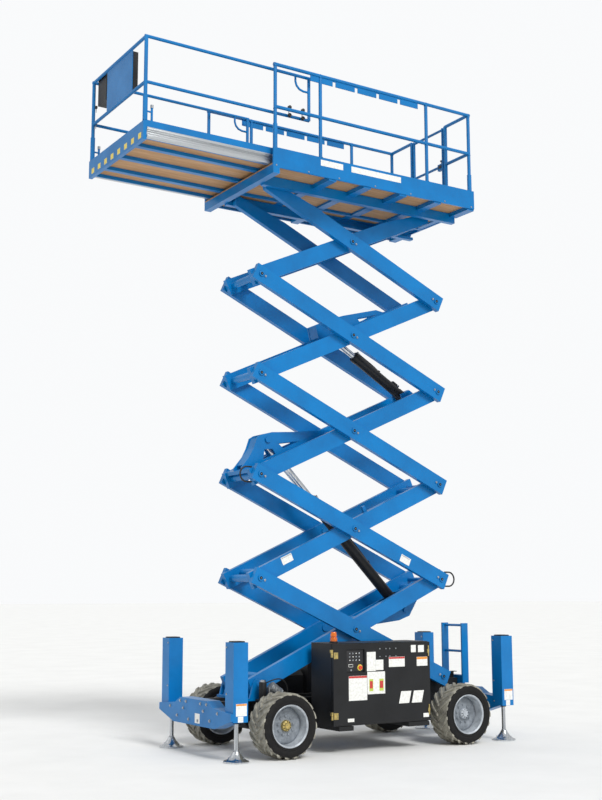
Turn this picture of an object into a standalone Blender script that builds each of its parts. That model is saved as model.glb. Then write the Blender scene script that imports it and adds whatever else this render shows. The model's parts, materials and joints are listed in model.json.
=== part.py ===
"""Rough-terrain scissor lift with outriggers and a roll-out platform deck, raised about half way.

Metres, +X forward (steering axle and roll-out deck), +Y to the machine's left, +Z up, floor at z = 0.
Every length below is measured from the middle of the wheelbase; the empty "wheelbase_centre" then
shifts the whole machine so that the world origin is under the middle of its outline.
"""
import math

import bmesh
import bpy
from mathutils import Matrix, Vector

# ---------------------------------------------------------------- driving dimensions
WHEELBASE = 2.30
TYRE_RADIUS = 0.325
TYRE_WIDTH = 0.31
TYRE_OUTER_Y = 0.859
BEAD_RADIUS = 0.212
KINGPIN_Y = 0.52

LIFT_ANGLE = math.radians(24.31)
LOWEST_ANGLE = math.radians(5.0)
ARM_LENGTH = 2.6476
ARM_DEPTH = 0.18
ARM_WALL_TO_WALL = 0.06
ARM_END = 0.08
TOP_ARM_CUT = 0.10
STAGES = 5
FRONT_PIVOT_X = 1.214
PIVOT_Z = 0.703
INNER_Y = 0.239
SIDE_GAP = 0.006
PIN_RADIUS = 0.025
PIN_SIDES = 16
TUBE_RADIUS = 0.045
TUBE_INSET = 0.14
LUG_RADIUS = 0.034
ROLLER_RADIUS = 0.030

LEG_X_FRONT = 1.689
LEG_X_REAR = -1.778
LEG_Y = 0.707
LEG_BOX = 0.165
LEG_BOX_TOP = 1.155
LEG_BOX_BOTTOM = 0.385
LEG_ROD_RADIUS = 0.0225
LEG_TRAVEL = 0.18
FOOT_RADIUS = 0.13
FRONT_BEAM = (0.035, 0.111)
REAR_BEAM = (0.078, 0.052)

RAIL_Y = 0.165
RAIL_WIDTH = 0.068
RAIL_BOTTOM = 0.40
RAIL_TOP = 0.54

CABINET_FRONT = 0.60
CABINET_REAR = -0.66
CABINET_INNER_Y = 0.385
CABINET_OUTER_Y = 0.80
CABINET_BOTTOM = 0.28
CABINET_TOP = 1.12
CABINET_WALL = 0.02
DOOR_THICKNESS = 0.03
ENGINE_FRONT = 0.15
PANEL_RECESS = (0.206, 0.432, 0.822, 1.053)
DOOR_GAP = 0.005

DECK_FRONT = 1.317
DECK_REAR = -1.468
DECK_HALF_WIDTH = 0.779
FLOOR_THICKNESS = 0.015
TOE_HEIGHT = 0.19
RAIL_HEIGHT = 1.141
RAIL_TUBE = 0.020
GATE_HALF_WIDTH = 0.33
EXTENSION_FRONT = 2.805
EXTENSION_REAR = 1.02
EXTENSION_HALF_WIDTH = 0.70
EXTENSION_TRAVEL = 1.44

TOUCH = 0.0003
CLEAR = 0.005
SMOOTH_ANGLE = math.radians(40)

# ---------------------------------------------------------------- sizes that follow from them
STAGE_RISE = ARM_LENGTH * math.sin(LIFT_ANGLE)
REAR_PIVOT_X = FRONT_PIVOT_X - ARM_LENGTH * math.cos(LIFT_ANGLE)
OUTER_Y = INNER_Y + ARM_WALL_TO_WALL + SIDE_GAP
OUTER_FACE_Y = OUTER_Y + ARM_WALL_TO_WALL
HALF = ARM_LENGTH / 2
TOP_HALF = HALF - TOP_ARM_CUT
HOLE_RADIUS = (PIN_RADIUS + TOUCH) / math.cos(math.pi / PIN_SIDES)
TOP_PIN_X = (FRONT_PIVOT_X + REAR_PIVOT_X) / 2 + TOP_HALF * math.cos(LIFT_ANGLE)
TOP_PIN_Z = PIVOT_Z + (STAGES - 0.5) * STAGE_RISE + TOP_HALF * math.sin(LIFT_ANGLE)
TOP_REAR_X = (FRONT_PIVOT_X + REAR_PIVOT_X) / 2 - TOP_HALF * math.cos(LIFT_ANGLE)
LONG_BEAM_Y = OUTER_FACE_Y + 0.011
LONG_BEAM_WIDTH = 0.064
FLANGE_TOP_Z = TOP_PIN_Z + 0.043
FRAME_TOP_Z = FLANGE_TOP_Z + 0.006
FLOOR_BOTTOM_Z = FRAME_TOP_Z + TOUCH
FLOOR_TOP_Z = FRAME_TOP_Z + FLOOR_THICKNESS
FASCIA_TOP_Z = FRAME_TOP_Z + TOE_HEIGHT
RAIL_TOP_Z = FLOOR_TOP_Z + RAIL_HEIGHT
ORIGIN_X = (EXTENSION_FRONT + LEG_X_REAR - FOOT_RADIUS) / 2
BEAM_TOP = RAIL_TOP + TOUCH
TRACK_TOP = PIVOT_Z + ROLLER_RADIUS + 0.012
TRACK_GROOVE = ROLLER_RADIUS + CLEAR

LOWER_BASE = (2.21, -0.185)
LOWER_EYE = (0.39, 0.275)
UPPER_BASE = (2.40, 0.08)
UPPER_EYE = (1.20, 0.17)
EAR_Y = 0.076
EAR_THICKNESS = 0.018
EYE_PIN_RADIUS = 0.030


# ---------------------------------------------------------------- materials
def make_material(name, colour, roughness, metallic=0.0):
    material = bpy.data.materials.new(name)
    material.use_nodes = True
    shader = material.node_tree.nodes["Principled BSDF"]
    shader.inputs["Base Color"].default_value = (*colour, 1.0)
    shader.inputs["Roughness"].default_value = roughness
    shader.inputs["Metallic"].default_value = metallic
    material.diffuse_color = (*colour, 1.0)
    return material


def clear_scene():
    for thing in list(bpy.data.objects):
        bpy.data.objects.remove(thing, do_unlink=True)


# ---------------------------------------------------------------- shapes, each a closed bmesh
def box(x0, x1, y0, y1, z0, z1):
    shape = bmesh.new()
    bmesh.ops.create_cube(shape, size=1.0)
    bmesh.ops.scale(shape, vec=(abs(x1 - x0), abs(y1 - y0), abs(z1 - z0)), verts=shape.verts)
    bmesh.ops.translate(shape, vec=((x0 + x1) / 2, (y0 + y1) / 2, (z0 + z1) / 2), verts=shape.verts)
    return shape


def sided_box(side, x0, x1, y0, y1, z0, z1):
    """A box whose y range is given for the left side; side is +1 or -1."""
    return box(x0, x1, side * y0, side * y1, z0, z1)


def rod(start, end, radius, sides=8, end_radius=None):
    start, end = Vector(start), Vector(end)
    shape = bmesh.new()
    bmesh.ops.create_cone(
        shape, cap_ends=True, segments=sides, radius1=radius,
        radius2=radius if end_radius is None else end_radius, depth=(end - start).length,
    )
    turn = Vector((0, 0, 1)).rotation_difference(end - start).to_matrix().to_4x4()
    bmesh.ops.transform(shape, matrix=Matrix.Translation((start + end) / 2) @ turn, verts=shape.verts)
    return shape


def cross_rod(x, z, y0, y1, radius, sides=PIN_SIDES):
    """A round bar along Y."""
    return rod((x, min(y0, y1), z), (x, max(y0, y1), z), radius, sides)


def prism(outline, y0, y1):
    """An outline of (x, z) points, extruded along Y."""
    shape = bmesh.new()
    low, high = min(y0, y1), max(y0, y1)
    face = shape.faces.new([shape.verts.new((x, low, z)) for x, z in outline])
    grown = bmesh.ops.extrude_face_region(shape, geom=[face])
    moved = [item for item in grown["geom"] if isinstance(item, bmesh.types.BMVert)]
    bmesh.ops.translate(shape, vec=(0, high - low, 0), verts=moved)
    bmesh.ops.recalc_face_normals(shape, faces=shape.faces)
    return shape


def slab(outline, x0, x1):
    """An outline of (y, z) points, extruded along X."""
    shape = prism(outline, x0, x1)
    bmesh.ops.transform(shape, matrix=Matrix.Rotation(math.pi / 2, 4, "Z"), verts=shape.verts)
    bmesh.ops.scale(shape, vec=(-1, 1, 1), verts=shape.verts)
    bmesh.ops.recalc_face_normals(shape, faces=shape.faces)
    return shape


def turned(profile, segments, side, closed):
    """A profile of (radius, y) points, turned about the Y axis, with a corner straight down."""
    shape = bmesh.new()
    verts = [shape.verts.new((0, side * y, -radius)) for radius, y in profile]
    edges = [shape.edges.new(pair) for pair in zip(verts, verts[1:])]
    if closed:
        edges.append(shape.edges.new((verts[-1], verts[0])))
    bmesh.ops.spin(
        shape, geom=verts + edges, cent=(0, 0, 0), axis=(0, 1, 0), angle=2 * math.pi,
        steps=segments, use_merge=True,
    )
    bmesh.ops.remove_doubles(shape, verts=shape.verts, dist=0.0001)
    bmesh.ops.recalc_face_normals(shape, faces=shape.faces)
    return shape


def bent_tube(points, radius, sides=8):
    """A round tube through the points, with mitred bends, as one closed skin."""
    shape = bmesh.new()
    points = [Vector(point) for point in points]
    rings = []
    for index, point in enumerate(points):
        before = (point - points[index - 1]).normalized() if index else None
        after = (points[index + 1] - point).normalized() if index < len(points) - 1 else None
        run = before or after
        seam = ((before or after) + (after or before)).normalized()
        across = run.orthogonal().normalized() if not rings else side_of_last(rings[-1], run)
        other = run.cross(across)
        ring = []
        for step in range(sides):
            angle = 2 * math.pi * step / sides
            offset = radius * (math.cos(angle) * across + math.sin(angle) * other)
            offset -= run * (offset.dot(seam) / run.dot(seam))
            ring.append(shape.verts.new(point + offset))
        rings.append((ring, across))
    for (ring, _), (following, _) in zip(rings, rings[1:]):
        for step in range(sides):
            after_step = (step + 1) % sides
            shape.faces.new((ring[step], ring[after_step], following[after_step], following[step]))
    shape.faces.new(list(reversed(rings[0][0])))
    shape.faces.new(rings[-1][0])
    bmesh.ops.recalc_face_normals(shape, faces=shape.faces)
    return shape


def side_of_last(last, run):
    """The last ring's reference direction, made square to the new run."""
    across = last[1] - run * last[1].dot(run)
    return across.normalized()


# ---------------------------------------------------------------- solids from shapes
def helper(shape):
    mesh = bpy.data.meshes.new("helper")
    shape.to_mesh(mesh)
    shape.free()
    thing = bpy.data.objects.new("helper", mesh)
    bpy.context.collection.objects.link(thing)
    thing.hide_render = True
    thing.display_type = "WIRE"
    return thing


def solid(name, material, joined, cut=(), origin=(0, 0, 0), turn=0.0):
    """One closed body: the first shape, with the rest joined on and the cutters taken away."""
    body = helper(joined[0])
    tools = []
    for operation, shapes in (("UNION", joined[1:]), ("DIFFERENCE", cut)):
        for shape in shapes:
            tool = helper(shape)
            modifier = body.modifiers.new(operation.lower(), "BOOLEAN")
            modifier.operation = operation
            modifier.solver = "EXACT"
            modifier.object = tool
            tools.append(tool)
    evaluated = body.evaluated_get(bpy.context.evaluated_depsgraph_get())
    mesh = bpy.data.meshes.new_from_object(evaluated)
    for thing in tools + [body]:
        bpy.data.objects.remove(thing, do_unlink=True)
    clean(mesh)
    mesh.name = name
    mesh.materials.clear()
    mesh.materials.append(material)
    mesh.shade_smooth()
    mesh.set_sharp_from_angle(angle=SMOOTH_ANGLE)
    made = bpy.data.objects.new(name, mesh)
    bpy.context.collection.objects.link(made)
    made.parent = bpy.data.objects["wheelbase_centre"]
    made.location = origin
    made.rotation_euler = (0, turn, 0)
    return made


def clean(mesh):
    """Melts the doubled corners that joining can leave."""
    shape = bmesh.new()
    shape.from_mesh(mesh)
    bmesh.ops.remove_doubles(shape, verts=shape.verts, dist=0.00001)
    shape.to_mesh(mesh)
    shape.free()


def shifted(shapes, x, y, z):
    for shape in shapes:
        bmesh.ops.translate(shape, vec=(-x, -y, -z), verts=shape.verts)
    return shapes


# ---------------------------------------------------------------- scissor stack
def arm_outline(top_front=False, top_rear=False):
    """Side view of a beam about its middle, +X to its front end; a top end is cut away to nest."""
    half_depth = ARM_DEPTH / 2
    reach = HALF + ARM_END
    slope = math.tan(LOWEST_ANGLE)
    taper = (half_depth - LUG_RADIUS) / slope
    nose = [(LUG_RADIUS * math.sin(math.radians(a)), LUG_RADIUS * math.cos(math.radians(a)))
            for a in (0, 30, 60, 90)]
    rounded = [(-taper, half_depth)] + nose + [(LUG_RADIUS, -0.05), (0.0, -half_depth)]
    front = [(reach, half_depth), (reach, -half_depth)]
    if top_front:
        front = [(TOP_HALF + x, z) for x, z in rounded]
    rear = [(-reach, -half_depth), (-reach, half_depth)]
    if top_rear:
        rear = [(-TOP_HALF - x, z) for x, z in reversed(rounded)]
    return front + rear


def beams(y0, **ends):
    """The left and right beams of one frame."""
    outline = arm_outline(**ends)
    return [prism(outline, side * y0, side * (y0 + ARM_WALL_TO_WALL)) for side in (1, -1)]


def holes(positions, y0):
    """Pin holes through both beams; positions lie along the arm."""
    made = []
    for along in positions:
        for side in (1, -1):
            near, far = side * (y0 - 0.01), side * (y0 + ARM_WALL_TO_WALL + 0.01)
            made.append(cross_rod(along, 0, near, far, HOLE_RADIUS))
    return made


def inner_frame(stage, materials):
    """The frame whose beams rise to the rear: inner beams with cross tubes between them."""
    top = stage == STAGES
    joined = beams(INNER_Y, top_rear=top)
    rear_reach = TOP_HALF if top else HALF
    width = INNER_Y + 0.01
    tube_drop = -0.045 if stage in (1, STAGES) else 0.0
    joined.append(cross_rod(-rear_reach + TUBE_INSET, tube_drop, -width, width, TUBE_RADIUS))
    if stage in (1, 2, STAGES):
        joined.append(cross_rod(HALF - TUBE_INSET, 0, -width, width, TUBE_RADIUS))
    cut = holes([HALF, 0] + ([] if top else [-HALF]), INNER_Y)
    if stage == 1:
        joined += lower_base_bracket(width)
    if stage == 3:
        joined += lower_eye_bracket(width) + upper_base_bracket()
        cut += windows([(0.31, 0.19), (0.41, 0.16), (0.42, 0.095), (0.25, 0.095)])
        cut += windows([(0.50, 0.19), (0.77, 0.115), (0.54, 0.115)])
    if stage == 4:
        joined += upper_eye_bracket(width)
        cut += windows([(1.66, 0.155), (1.95, 0.105), (1.69, 0.08)])
    if top:
        for side in (1, -1):
            joined.append(cross_rod(-TOP_HALF, 0, side * 0.27, side * (LONG_BEAM_Y + 0.002), 0.026))
            near, far = side * (LONG_BEAM_Y + 0.001), side * (LONG_BEAM_Y + 0.048)
            joined.append(cross_rod(-TOP_HALF, 0, near, far, ROLLER_RADIUS))
    pivot = 0.0 if stage in (2, 4) else HALF
    return stack_frame(f"inner_arm_{stage}", stage, joined, cut, pivot, LIFT_ANGLE, materials)


def plates(outline, y0=EAR_Y, y1=EAR_Y + EAR_THICKNESS):
    """A pair of plates; the outline is (distance from the front pin, height over the arm's axis)."""
    points = [(HALF - along, height) for along, height in outline]
    return [prism(points, side * y0, side * y1) for side in (1, -1)]


def windows(outline):
    return plates(outline, EAR_Y - 0.01, EAR_Y + EAR_THICKNESS + 0.01)


def stubs(point, radius, width):
    """Short tubes from the plates out to the beams, with the middle left open for the cylinder."""
    x, z = at_arm(point)
    return [cross_rod(x, z, side * (EAR_Y + 0.005), side * width, radius) for side in (1, -1)]


def at_arm(point):
    """(distance from the front pin, height) to the beam's own x, z."""
    return HALF - point[0], point[1]


def lower_base_bracket(width):
    """Ears under the first inner frame that carry the lower cylinder, its pin and their tube."""
    ears = [(1.56, 0.02), (1.56, -0.09), (2.08, -0.255), (2.24, -0.27), (2.47, -0.12), (2.57, -0.09),
            (2.57, 0.0)]
    made = plates(ears)
    made.append(cross_rod(*at_arm((1.60, -0.03)), -width, width, TUBE_RADIUS))
    made.append(cross_rod(*at_arm(LOWER_BASE), -0.115, 0.115, EYE_PIN_RADIUS))
    return made


def lower_eye_bracket(width):
    """The hooked bracket over the third frame, boxed in at the front, with a boss beside the rod's eye."""
    hook = [(-0.048, 0.06), (-0.04, 0.115), (0.112, 0.19), (0.196, 0.257), (0.278, 0.344), (0.342, 0.352),
            (0.475, 0.330), (0.794, 0.215), (1.20, 0.09), (1.20, 0.03)]
    made = plates(hook)
    across = EAR_Y + EAR_THICKNESS / 2
    cover = ((0.01, 0.129), (0.20, 0.249), (0.285, 0.336), (0.293, 0.327), (0.208, 0.240), (0.015, 0.116))
    made.append(prism([(HALF - s, n) for s, n in cover], -across, across))
    made.append(box(HALF - 0.055, HALF + 0.06, -width, width, 0.048, 0.088))
    made += stubs((1.12, 0.048), 0.035, width)
    x, z = at_arm(LOWER_EYE)
    made += [cross_rod(x, z, side * 0.064, side * (EAR_Y + EAR_THICKNESS + 0.02), 0.034) for side in (1, -1)]
    return made


def upper_base_bracket():
    """Low ears round the third frame's rear tube that carry the upper cylinder, with its pin."""
    made = plates([(2.32, -0.02), (2.33, 0.125), (2.47, 0.125), (2.56, 0.0), (2.54, -0.035)])
    made.append(cross_rod(*at_arm(UPPER_BASE), -0.115, 0.115, EYE_PIN_RADIUS))
    return made


def upper_eye_bracket(width):
    """The bracket over the fourth frame's middle, boxed in at the front, with bosses beside the eye."""
    plate = [(0.95, 0.01), (0.95, 0.065), (1.05, 0.10), (1.075, 0.25), (1.373, 0.25), (1.50, 0.236),
             (1.963, 0.16), (2.06, 0.10), (2.06, 0.03)]
    made = plates(plate)
    across = EAR_Y + EAR_THICKNESS / 2
    cover = ((1.057, 0.108), (1.081, 0.243), (1.095, 0.243), (1.073, 0.108))
    made.append(prism([(HALF - s, n) for s, n in cover], -across, across))
    made += stubs((0.985, 0.035), 0.035, width) + stubs((2.0, 0.048), 0.035, width)
    x, z = at_arm(UPPER_EYE)
    made += [cross_rod(x, z, side * 0.064, side * (EAR_Y + 0.01), 0.032) for side in (1, -1)]
    return made


def outer_frame(stage, materials):
    """The frame whose beams rise to the front: outer beams on full-width shafts."""
    top = stage == STAGES
    joined = beams(OUTER_Y, top_front=top)
    head = OUTER_FACE_Y + 0.008
    cut = []
    if top:
        cut += holes([TOP_HALF], OUTER_Y)
    else:
        joined.append(cross_rod(HALF, 0, -head, head, PIN_RADIUS))
        joined.append(cross_rod(HALF, 0, -0.19, 0.19, 0.040))
        joined += [cross_rod(HALF, 0, side * 0.205, side * (INNER_Y - CLEAR), 0.036) for side in (1, -1)]
    if stage > 1:
        joined.append(cross_rod(-HALF, 0, -head, head, PIN_RADIUS))
    for side in (1, -1):
        joined.append(cross_rod(0, 0, side * (INNER_Y - 0.010), side * head, PIN_RADIUS))
        joined.append(cross_rod(0, 0, side * (INNER_Y - 0.014), side * (INNER_Y - 0.002), 0.040))
        if stage == 1:
            joined.append(cross_rod(-HALF, 0, side * (RAIL_Y + 0.055), side * head, PIN_RADIUS))
            near, far = side * (RAIL_Y + 0.013), side * (RAIL_Y + 0.060)
            joined.append(cross_rod(-HALF, 0, near, far, ROLLER_RADIUS))
    pivot = {2: -HALF, 4: -HALF}.get(stage, 0.0)
    return stack_frame(f"outer_arm_{stage}", stage, joined, cut, pivot, -LIFT_ANGLE, materials)


def stack_frame(name, stage, joined, cut, pivot, turn, materials):
    """Places a frame with its origin on the pin that carries it."""
    centre_x = (FRONT_PIVOT_X + REAR_PIVOT_X) / 2
    centre_z = PIVOT_Z + (stage - 0.5) * STAGE_RISE
    shifted(joined, pivot, 0, 0)
    shifted(cut, pivot, 0, 0)
    origin = (centre_x + pivot * math.cos(turn), 0, centre_z - pivot * math.sin(turn))
    return solid(name, materials["blue"], joined, cut, origin, turn)


def arm_point(stage, point):
    """World x, z of a point given on an inner frame."""
    along, height = point
    sine, cosine = math.sin(LIFT_ANGLE), math.cos(LIFT_ANGLE)
    x = FRONT_PIVOT_X - along * cosine + height * sine
    z = PIVOT_Z + (stage - 1) * STAGE_RISE + along * sine + height * cosine
    return x, z


def lift_cylinder(name, base_stage, base, eye_stage, eye, barrel_radius, rod_radius, barrel, materials):
    """A barrel on its base pin and the rod that slides in it; both lie along local +X."""
    base_x, base_z = arm_point(base_stage, base)
    eye_x, eye_z = arm_point(eye_stage, eye)
    length = math.hypot(eye_x - base_x, eye_z - base_z)
    turn = -math.atan2(eye_z - base_z, eye_x - base_x)
    eye_hole = (EYE_PIN_RADIUS + TOUCH) / math.cos(math.pi / PIN_SIDES)
    body = [
        rod((0.047, 0, 0), (barrel, 0, 0), barrel_radius, 20),
        cross_rod(0, 0, -0.055, 0.055, 0.055),
        box(0, 0.09, -0.045, 0.045, -0.045, 0.045),
        rod((barrel - 0.06, 0, 0), (barrel, 0, 0), barrel_radius + 0.006, 20),
    ]
    bore = [rod((0.10, 0, 0), (barrel + 0.01, 0, 0), rod_radius + 0.0004, 20),
            cross_rod(0, 0, -0.07, 0.07, eye_hole)]
    solid(f"{name}_cylinder_barrel", materials["black"], body, bore, (base_x, 0, base_z), turn)
    stem = [
        rod((0.394 * barrel - length, 0, 0), (-0.02, 0, 0), rod_radius, 20),
        cross_rod(0, 0, -0.055, 0.055, 0.050),
    ]
    solid(f"{name}_cylinder_rod", materials["chrome"], stem,
          [cross_rod(0, 0, -0.07, 0.07, 0.032)], (eye_x, 0, eye_z), turn)


def scissor_stack(materials):
    for stage in range(1, STAGES + 1):
        inner_frame(stage, materials)
        outer_frame(stage, materials)
    lift_cylinder("lower", 1, LOWER_BASE, 3, LOWER_EYE, 0.062, 0.042, 1.725, materials)
    lift_cylinder("upper", 3, UPPER_BASE, 4, UPPER_EYE, 0.058, 0.034, 0.80, materials)
    safety_strut(materials)


def safety_strut(materials):
    """The prop that lies on the second inner frame until it is swung up for service."""
    y0, y1 = 0.19, 0.225
    x0, x1 = HALF - 2.20, HALF - 1.60
    bar = [box(x0, x1, y0, y1, 0.045, 0.085), box(x1 - 0.05, x1 - 0.01, y0, y1, 0.045, 0.15)]
    for x in (x0, x1 - 0.06):
        bar.append(box(x, x + 0.06, y0, INNER_Y - TOUCH, 0.03, 0.07))
    pivot_x = (FRONT_PIVOT_X + REAR_PIVOT_X) / 2
    solid("safety_strut", materials["blue"], bar, (), (pivot_x, 0, PIVOT_Z + 1.5 * STAGE_RISE), LIFT_ANGLE)


# ---------------------------------------------------------------- chassis
def chassis_frame(materials):
    """Two main rails with the tracks that O1's rollers run in, cross members and cabinet carriers."""
    joined, cut = [], []
    rear, front = LEG_X_REAR + REAR_BEAM[0] + TOUCH, LEG_X_FRONT - FRONT_BEAM[0] - TOUCH
    outer = RAIL_Y + RAIL_WIDTH
    track_rear, track_front = REAR_PIVOT_X - 0.31, REAR_PIVOT_X + 1.16
    for side in (1, -1):
        joined.append(sided_box(side, rear, front, RAIL_Y, outer, RAIL_BOTTOM, RAIL_TOP))
        joined.append(sided_box(side, track_rear, track_front, RAIL_Y, outer, RAIL_TOP - 0.01, TRACK_TOP))
        cut.append(sided_box(side, track_rear - 0.01, track_front + 0.01, RAIL_Y + 0.008, outer + 0.01,
                             PIVOT_Z - TRACK_GROOVE, PIVOT_Z + TRACK_GROOVE))
    for x in (rear + 0.05, -0.30, 0.72, front - 0.05):
        joined.append(box(x - 0.04, x + 0.04, -outer + 0.01, outer - 0.01, RAIL_BOTTOM + 0.01,
                          RAIL_TOP - 0.02))
    top = CABINET_BOTTOM - TOUCH
    for x, half in ((0.44, 0.09), (-0.50, 0.14)):
        joined.append(box(x - half, x + half, -0.30, 0.30, top - 0.05, RAIL_BOTTOM + 0.02))
        joined.append(box(x - half, x + half, -CABINET_OUTER_Y, CABINET_OUTER_Y, top - 0.045, top))
    return solid("chassis_frame", materials["black"], joined, cut)


def front_pivot_mount(materials):
    """Cheeks and pins at the first inner frame's front end."""
    bottom = BEAM_TOP
    inner_cheek = (RAIL_Y + 0.027, INNER_Y - SIDE_GAP)
    outer_cheek = (INNER_Y + ARM_WALL_TO_WALL + SIDE_GAP, INNER_Y + ARM_WALL_TO_WALL + SIDE_GAP + 0.025)
    x = FRONT_PIVOT_X
    joined = [box(x - 0.11, x + 0.13, -outer_cheek[1], outer_cheek[1], bottom, bottom + 0.025)]
    cheek = [(x - 0.07, bottom + 0.01), (x + 0.11, bottom + 0.01), (x + 0.06, PIVOT_Z + 0.02),
             (x + 0.03, PIVOT_Z + 0.055), (x - 0.03, PIVOT_Z + 0.055), (x - 0.05, PIVOT_Z + 0.02)]
    for side in (1, -1):
        joined.append(prism(cheek, side * inner_cheek[0], side * inner_cheek[1]))
        joined.append(prism(cheek, side * outer_cheek[0], side * outer_cheek[1]))
        joined.append(cross_rod(x, PIVOT_Z, side * (inner_cheek[0] + 0.005), side * (outer_cheek[1] + 0.006),
                                PIN_RADIUS))
    return solid("front_pivot_mount", materials["blue"], joined)


def outrigger_frame(name, x, outward, beam, materials):
    """Two leg boxes on a bent cross beam; outward is +1 at the front and -1 at the rear."""
    half = LEG_BOX / 2
    joined, cut = [], []
    back, face = x - outward * beam[0], x + outward * beam[1]
    low, high = LEG_BOX_BOTTOM + 0.015, LEG_BOX_BOTTOM + 0.085
    outline = [(-LEG_Y - half, low), (-0.45, 0.30), (0.45, 0.30), (LEG_Y + half, low), (LEG_Y + half, high),
               (0.42, high + 0.03), (0.30, high + 0.09), (-0.30, high + 0.09),
               (-0.42, high + 0.03), (-LEG_Y - half, high)]
    joined.append(slab(outline, min(back, face), max(back, face)))
    bore = LEG_ROD_RADIUS + TOUCH
    for side in (1, -1):
        y = side * LEG_Y
        joined.append(box(x - half, x + half, y - half, y + half, LEG_BOX_BOTTOM, LEG_BOX_TOP))
        cut.append(rod((x, y, LEG_BOX_BOTTOM - 0.15), (x, y, LEG_BOX_BOTTOM + LEG_TRAVEL + 0.13), bore, 16))
    return solid(name, materials["blue"], joined, cut)


def outrigger_leg(name, x, y, materials):
    """The chromed leg with its swivel foot; it slides up into its box."""
    top = LEG_BOX_BOTTOM + 0.11
    foot = [(0.0, 0.0), (FOOT_RADIUS, 0.0), (FOOT_RADIUS, 0.016), (0.105, 0.026), (0.045, 0.085),
            (0.034, 0.105), (0.0, 0.105)]
    cone = turned([(radius, z) for radius, z in foot], 20, 1, closed=False)
    bmesh.ops.transform(cone, matrix=Matrix.Rotation(math.pi / 2, 4, "X"), verts=cone.verts)
    bmesh.ops.translate(cone, vec=(x, y, 0), verts=cone.verts)
    joined = [cone, rod((x, y, 0.09), (x, y, top), LEG_ROD_RADIUS, 16)]
    return solid(name, materials["chrome"], shifted(joined, x, y, 0), (), (x, y, 0))


def axles(materials):
    """The steering axle ends in kingpin bosses, the fixed one in hub flanges."""
    z = TYRE_RADIUS
    hub_face = TYRE_OUTER_Y - 0.124
    for name, x in (("front_axle", WHEELBASE / 2), ("rear_axle", -WHEELBASE / 2)):
        joined = [box(x - 0.06, x + 0.06, -KINGPIN_Y + 0.03, KINGPIN_Y - 0.03, z - 0.05, z + 0.05)]
        joined.append(rod((x, -0.11, z), (x, 0.11, z), 0.10, 16))
        for side in (1, -1):
            joined.append(sided_box(side, x - 0.06, x + 0.06, RAIL_Y, RAIL_Y + RAIL_WIDTH, z + 0.02,
                                    RAIL_BOTTOM - TOUCH))
            if x > 0:
                y = side * KINGPIN_Y
                joined.append(rod((x, y, z - 0.09), (x, y, z + 0.09), 0.045, 16))
            else:
                joined.append(cross_rod(x, z, side * 0.45, side * hub_face, 0.060))
        solid(name, materials["black"], joined)


def knuckle(name, side, materials):
    """The forked steering knuckle with its hub flange."""
    x, y, z = WHEELBASE / 2, side * KINGPIN_Y, TYRE_RADIUS
    reach = TYRE_OUTER_Y - 0.124 - KINGPIN_Y
    joined = [box(-0.05, 0.05, side * 0.058, side * 0.095, -0.125, 0.125)]
    for up in (1, -1):
        joined.append(rod((0, 0, up * (0.09 + TOUCH)), (0, 0, up * 0.125), 0.050, 16))
        joined.append(box(-0.05, 0.05, 0, side * 0.09, up * (0.09 + TOUCH), up * 0.125))
    joined.append(cross_rod(0, 0, side * 0.09, side * reach, 0.060))
    return solid(name, materials["black"], joined, (), (x, y, z))


def wheel(name, x, side, materials):
    """A tyre and the rim inside it, both with their origin at the wheel's centre."""
    outer = TYRE_OUTER_Y
    inner = outer - TYRE_WIDTH
    centre = (x, side * (outer + inner) / 2, TYRE_RADIUS)
    middle = (outer + inner) / 2
    half = TYRE_WIDTH / 2
    shoulder = TYRE_RADIUS - 0.007
    tyre = [(BEAD_RADIUS, -half + 0.011), (BEAD_RADIUS, half - 0.011), (0.238, half), (0.290, half),
            (shoulder, half - 0.016), (TYRE_RADIUS, half - 0.05), (TYRE_RADIUS, -half + 0.05),
            (shoulder, -half + 0.016), (0.290, -half), (0.238, -half)]
    solid(f"tyre_{name}", materials["tyre"], [turned(tyre, 32, side, closed=True)], (), centre)
    bead = BEAD_RADIUS - TOUCH
    back = outer - 0.124 + TOUCH - middle
    wall = 0.013
    rim = [(0.0, back), (bead - wall - 0.004, back), (bead - wall, back - 0.02),
           (bead - wall, -half + 0.006), (bead, -half + 0.006), (bead, half - 0.006),
           (bead - wall, half - 0.006), (bead - wall, back + 0.035), (0.15, back + 0.018),
           (0.078, back + 0.018), (0.070, back + 0.050), (0.045, back + 0.065), (0.0, back + 0.065)]
    solid(f"rim_{name}", materials["rim"], [turned(rim, 32, side, closed=False)], (), centre)


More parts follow.
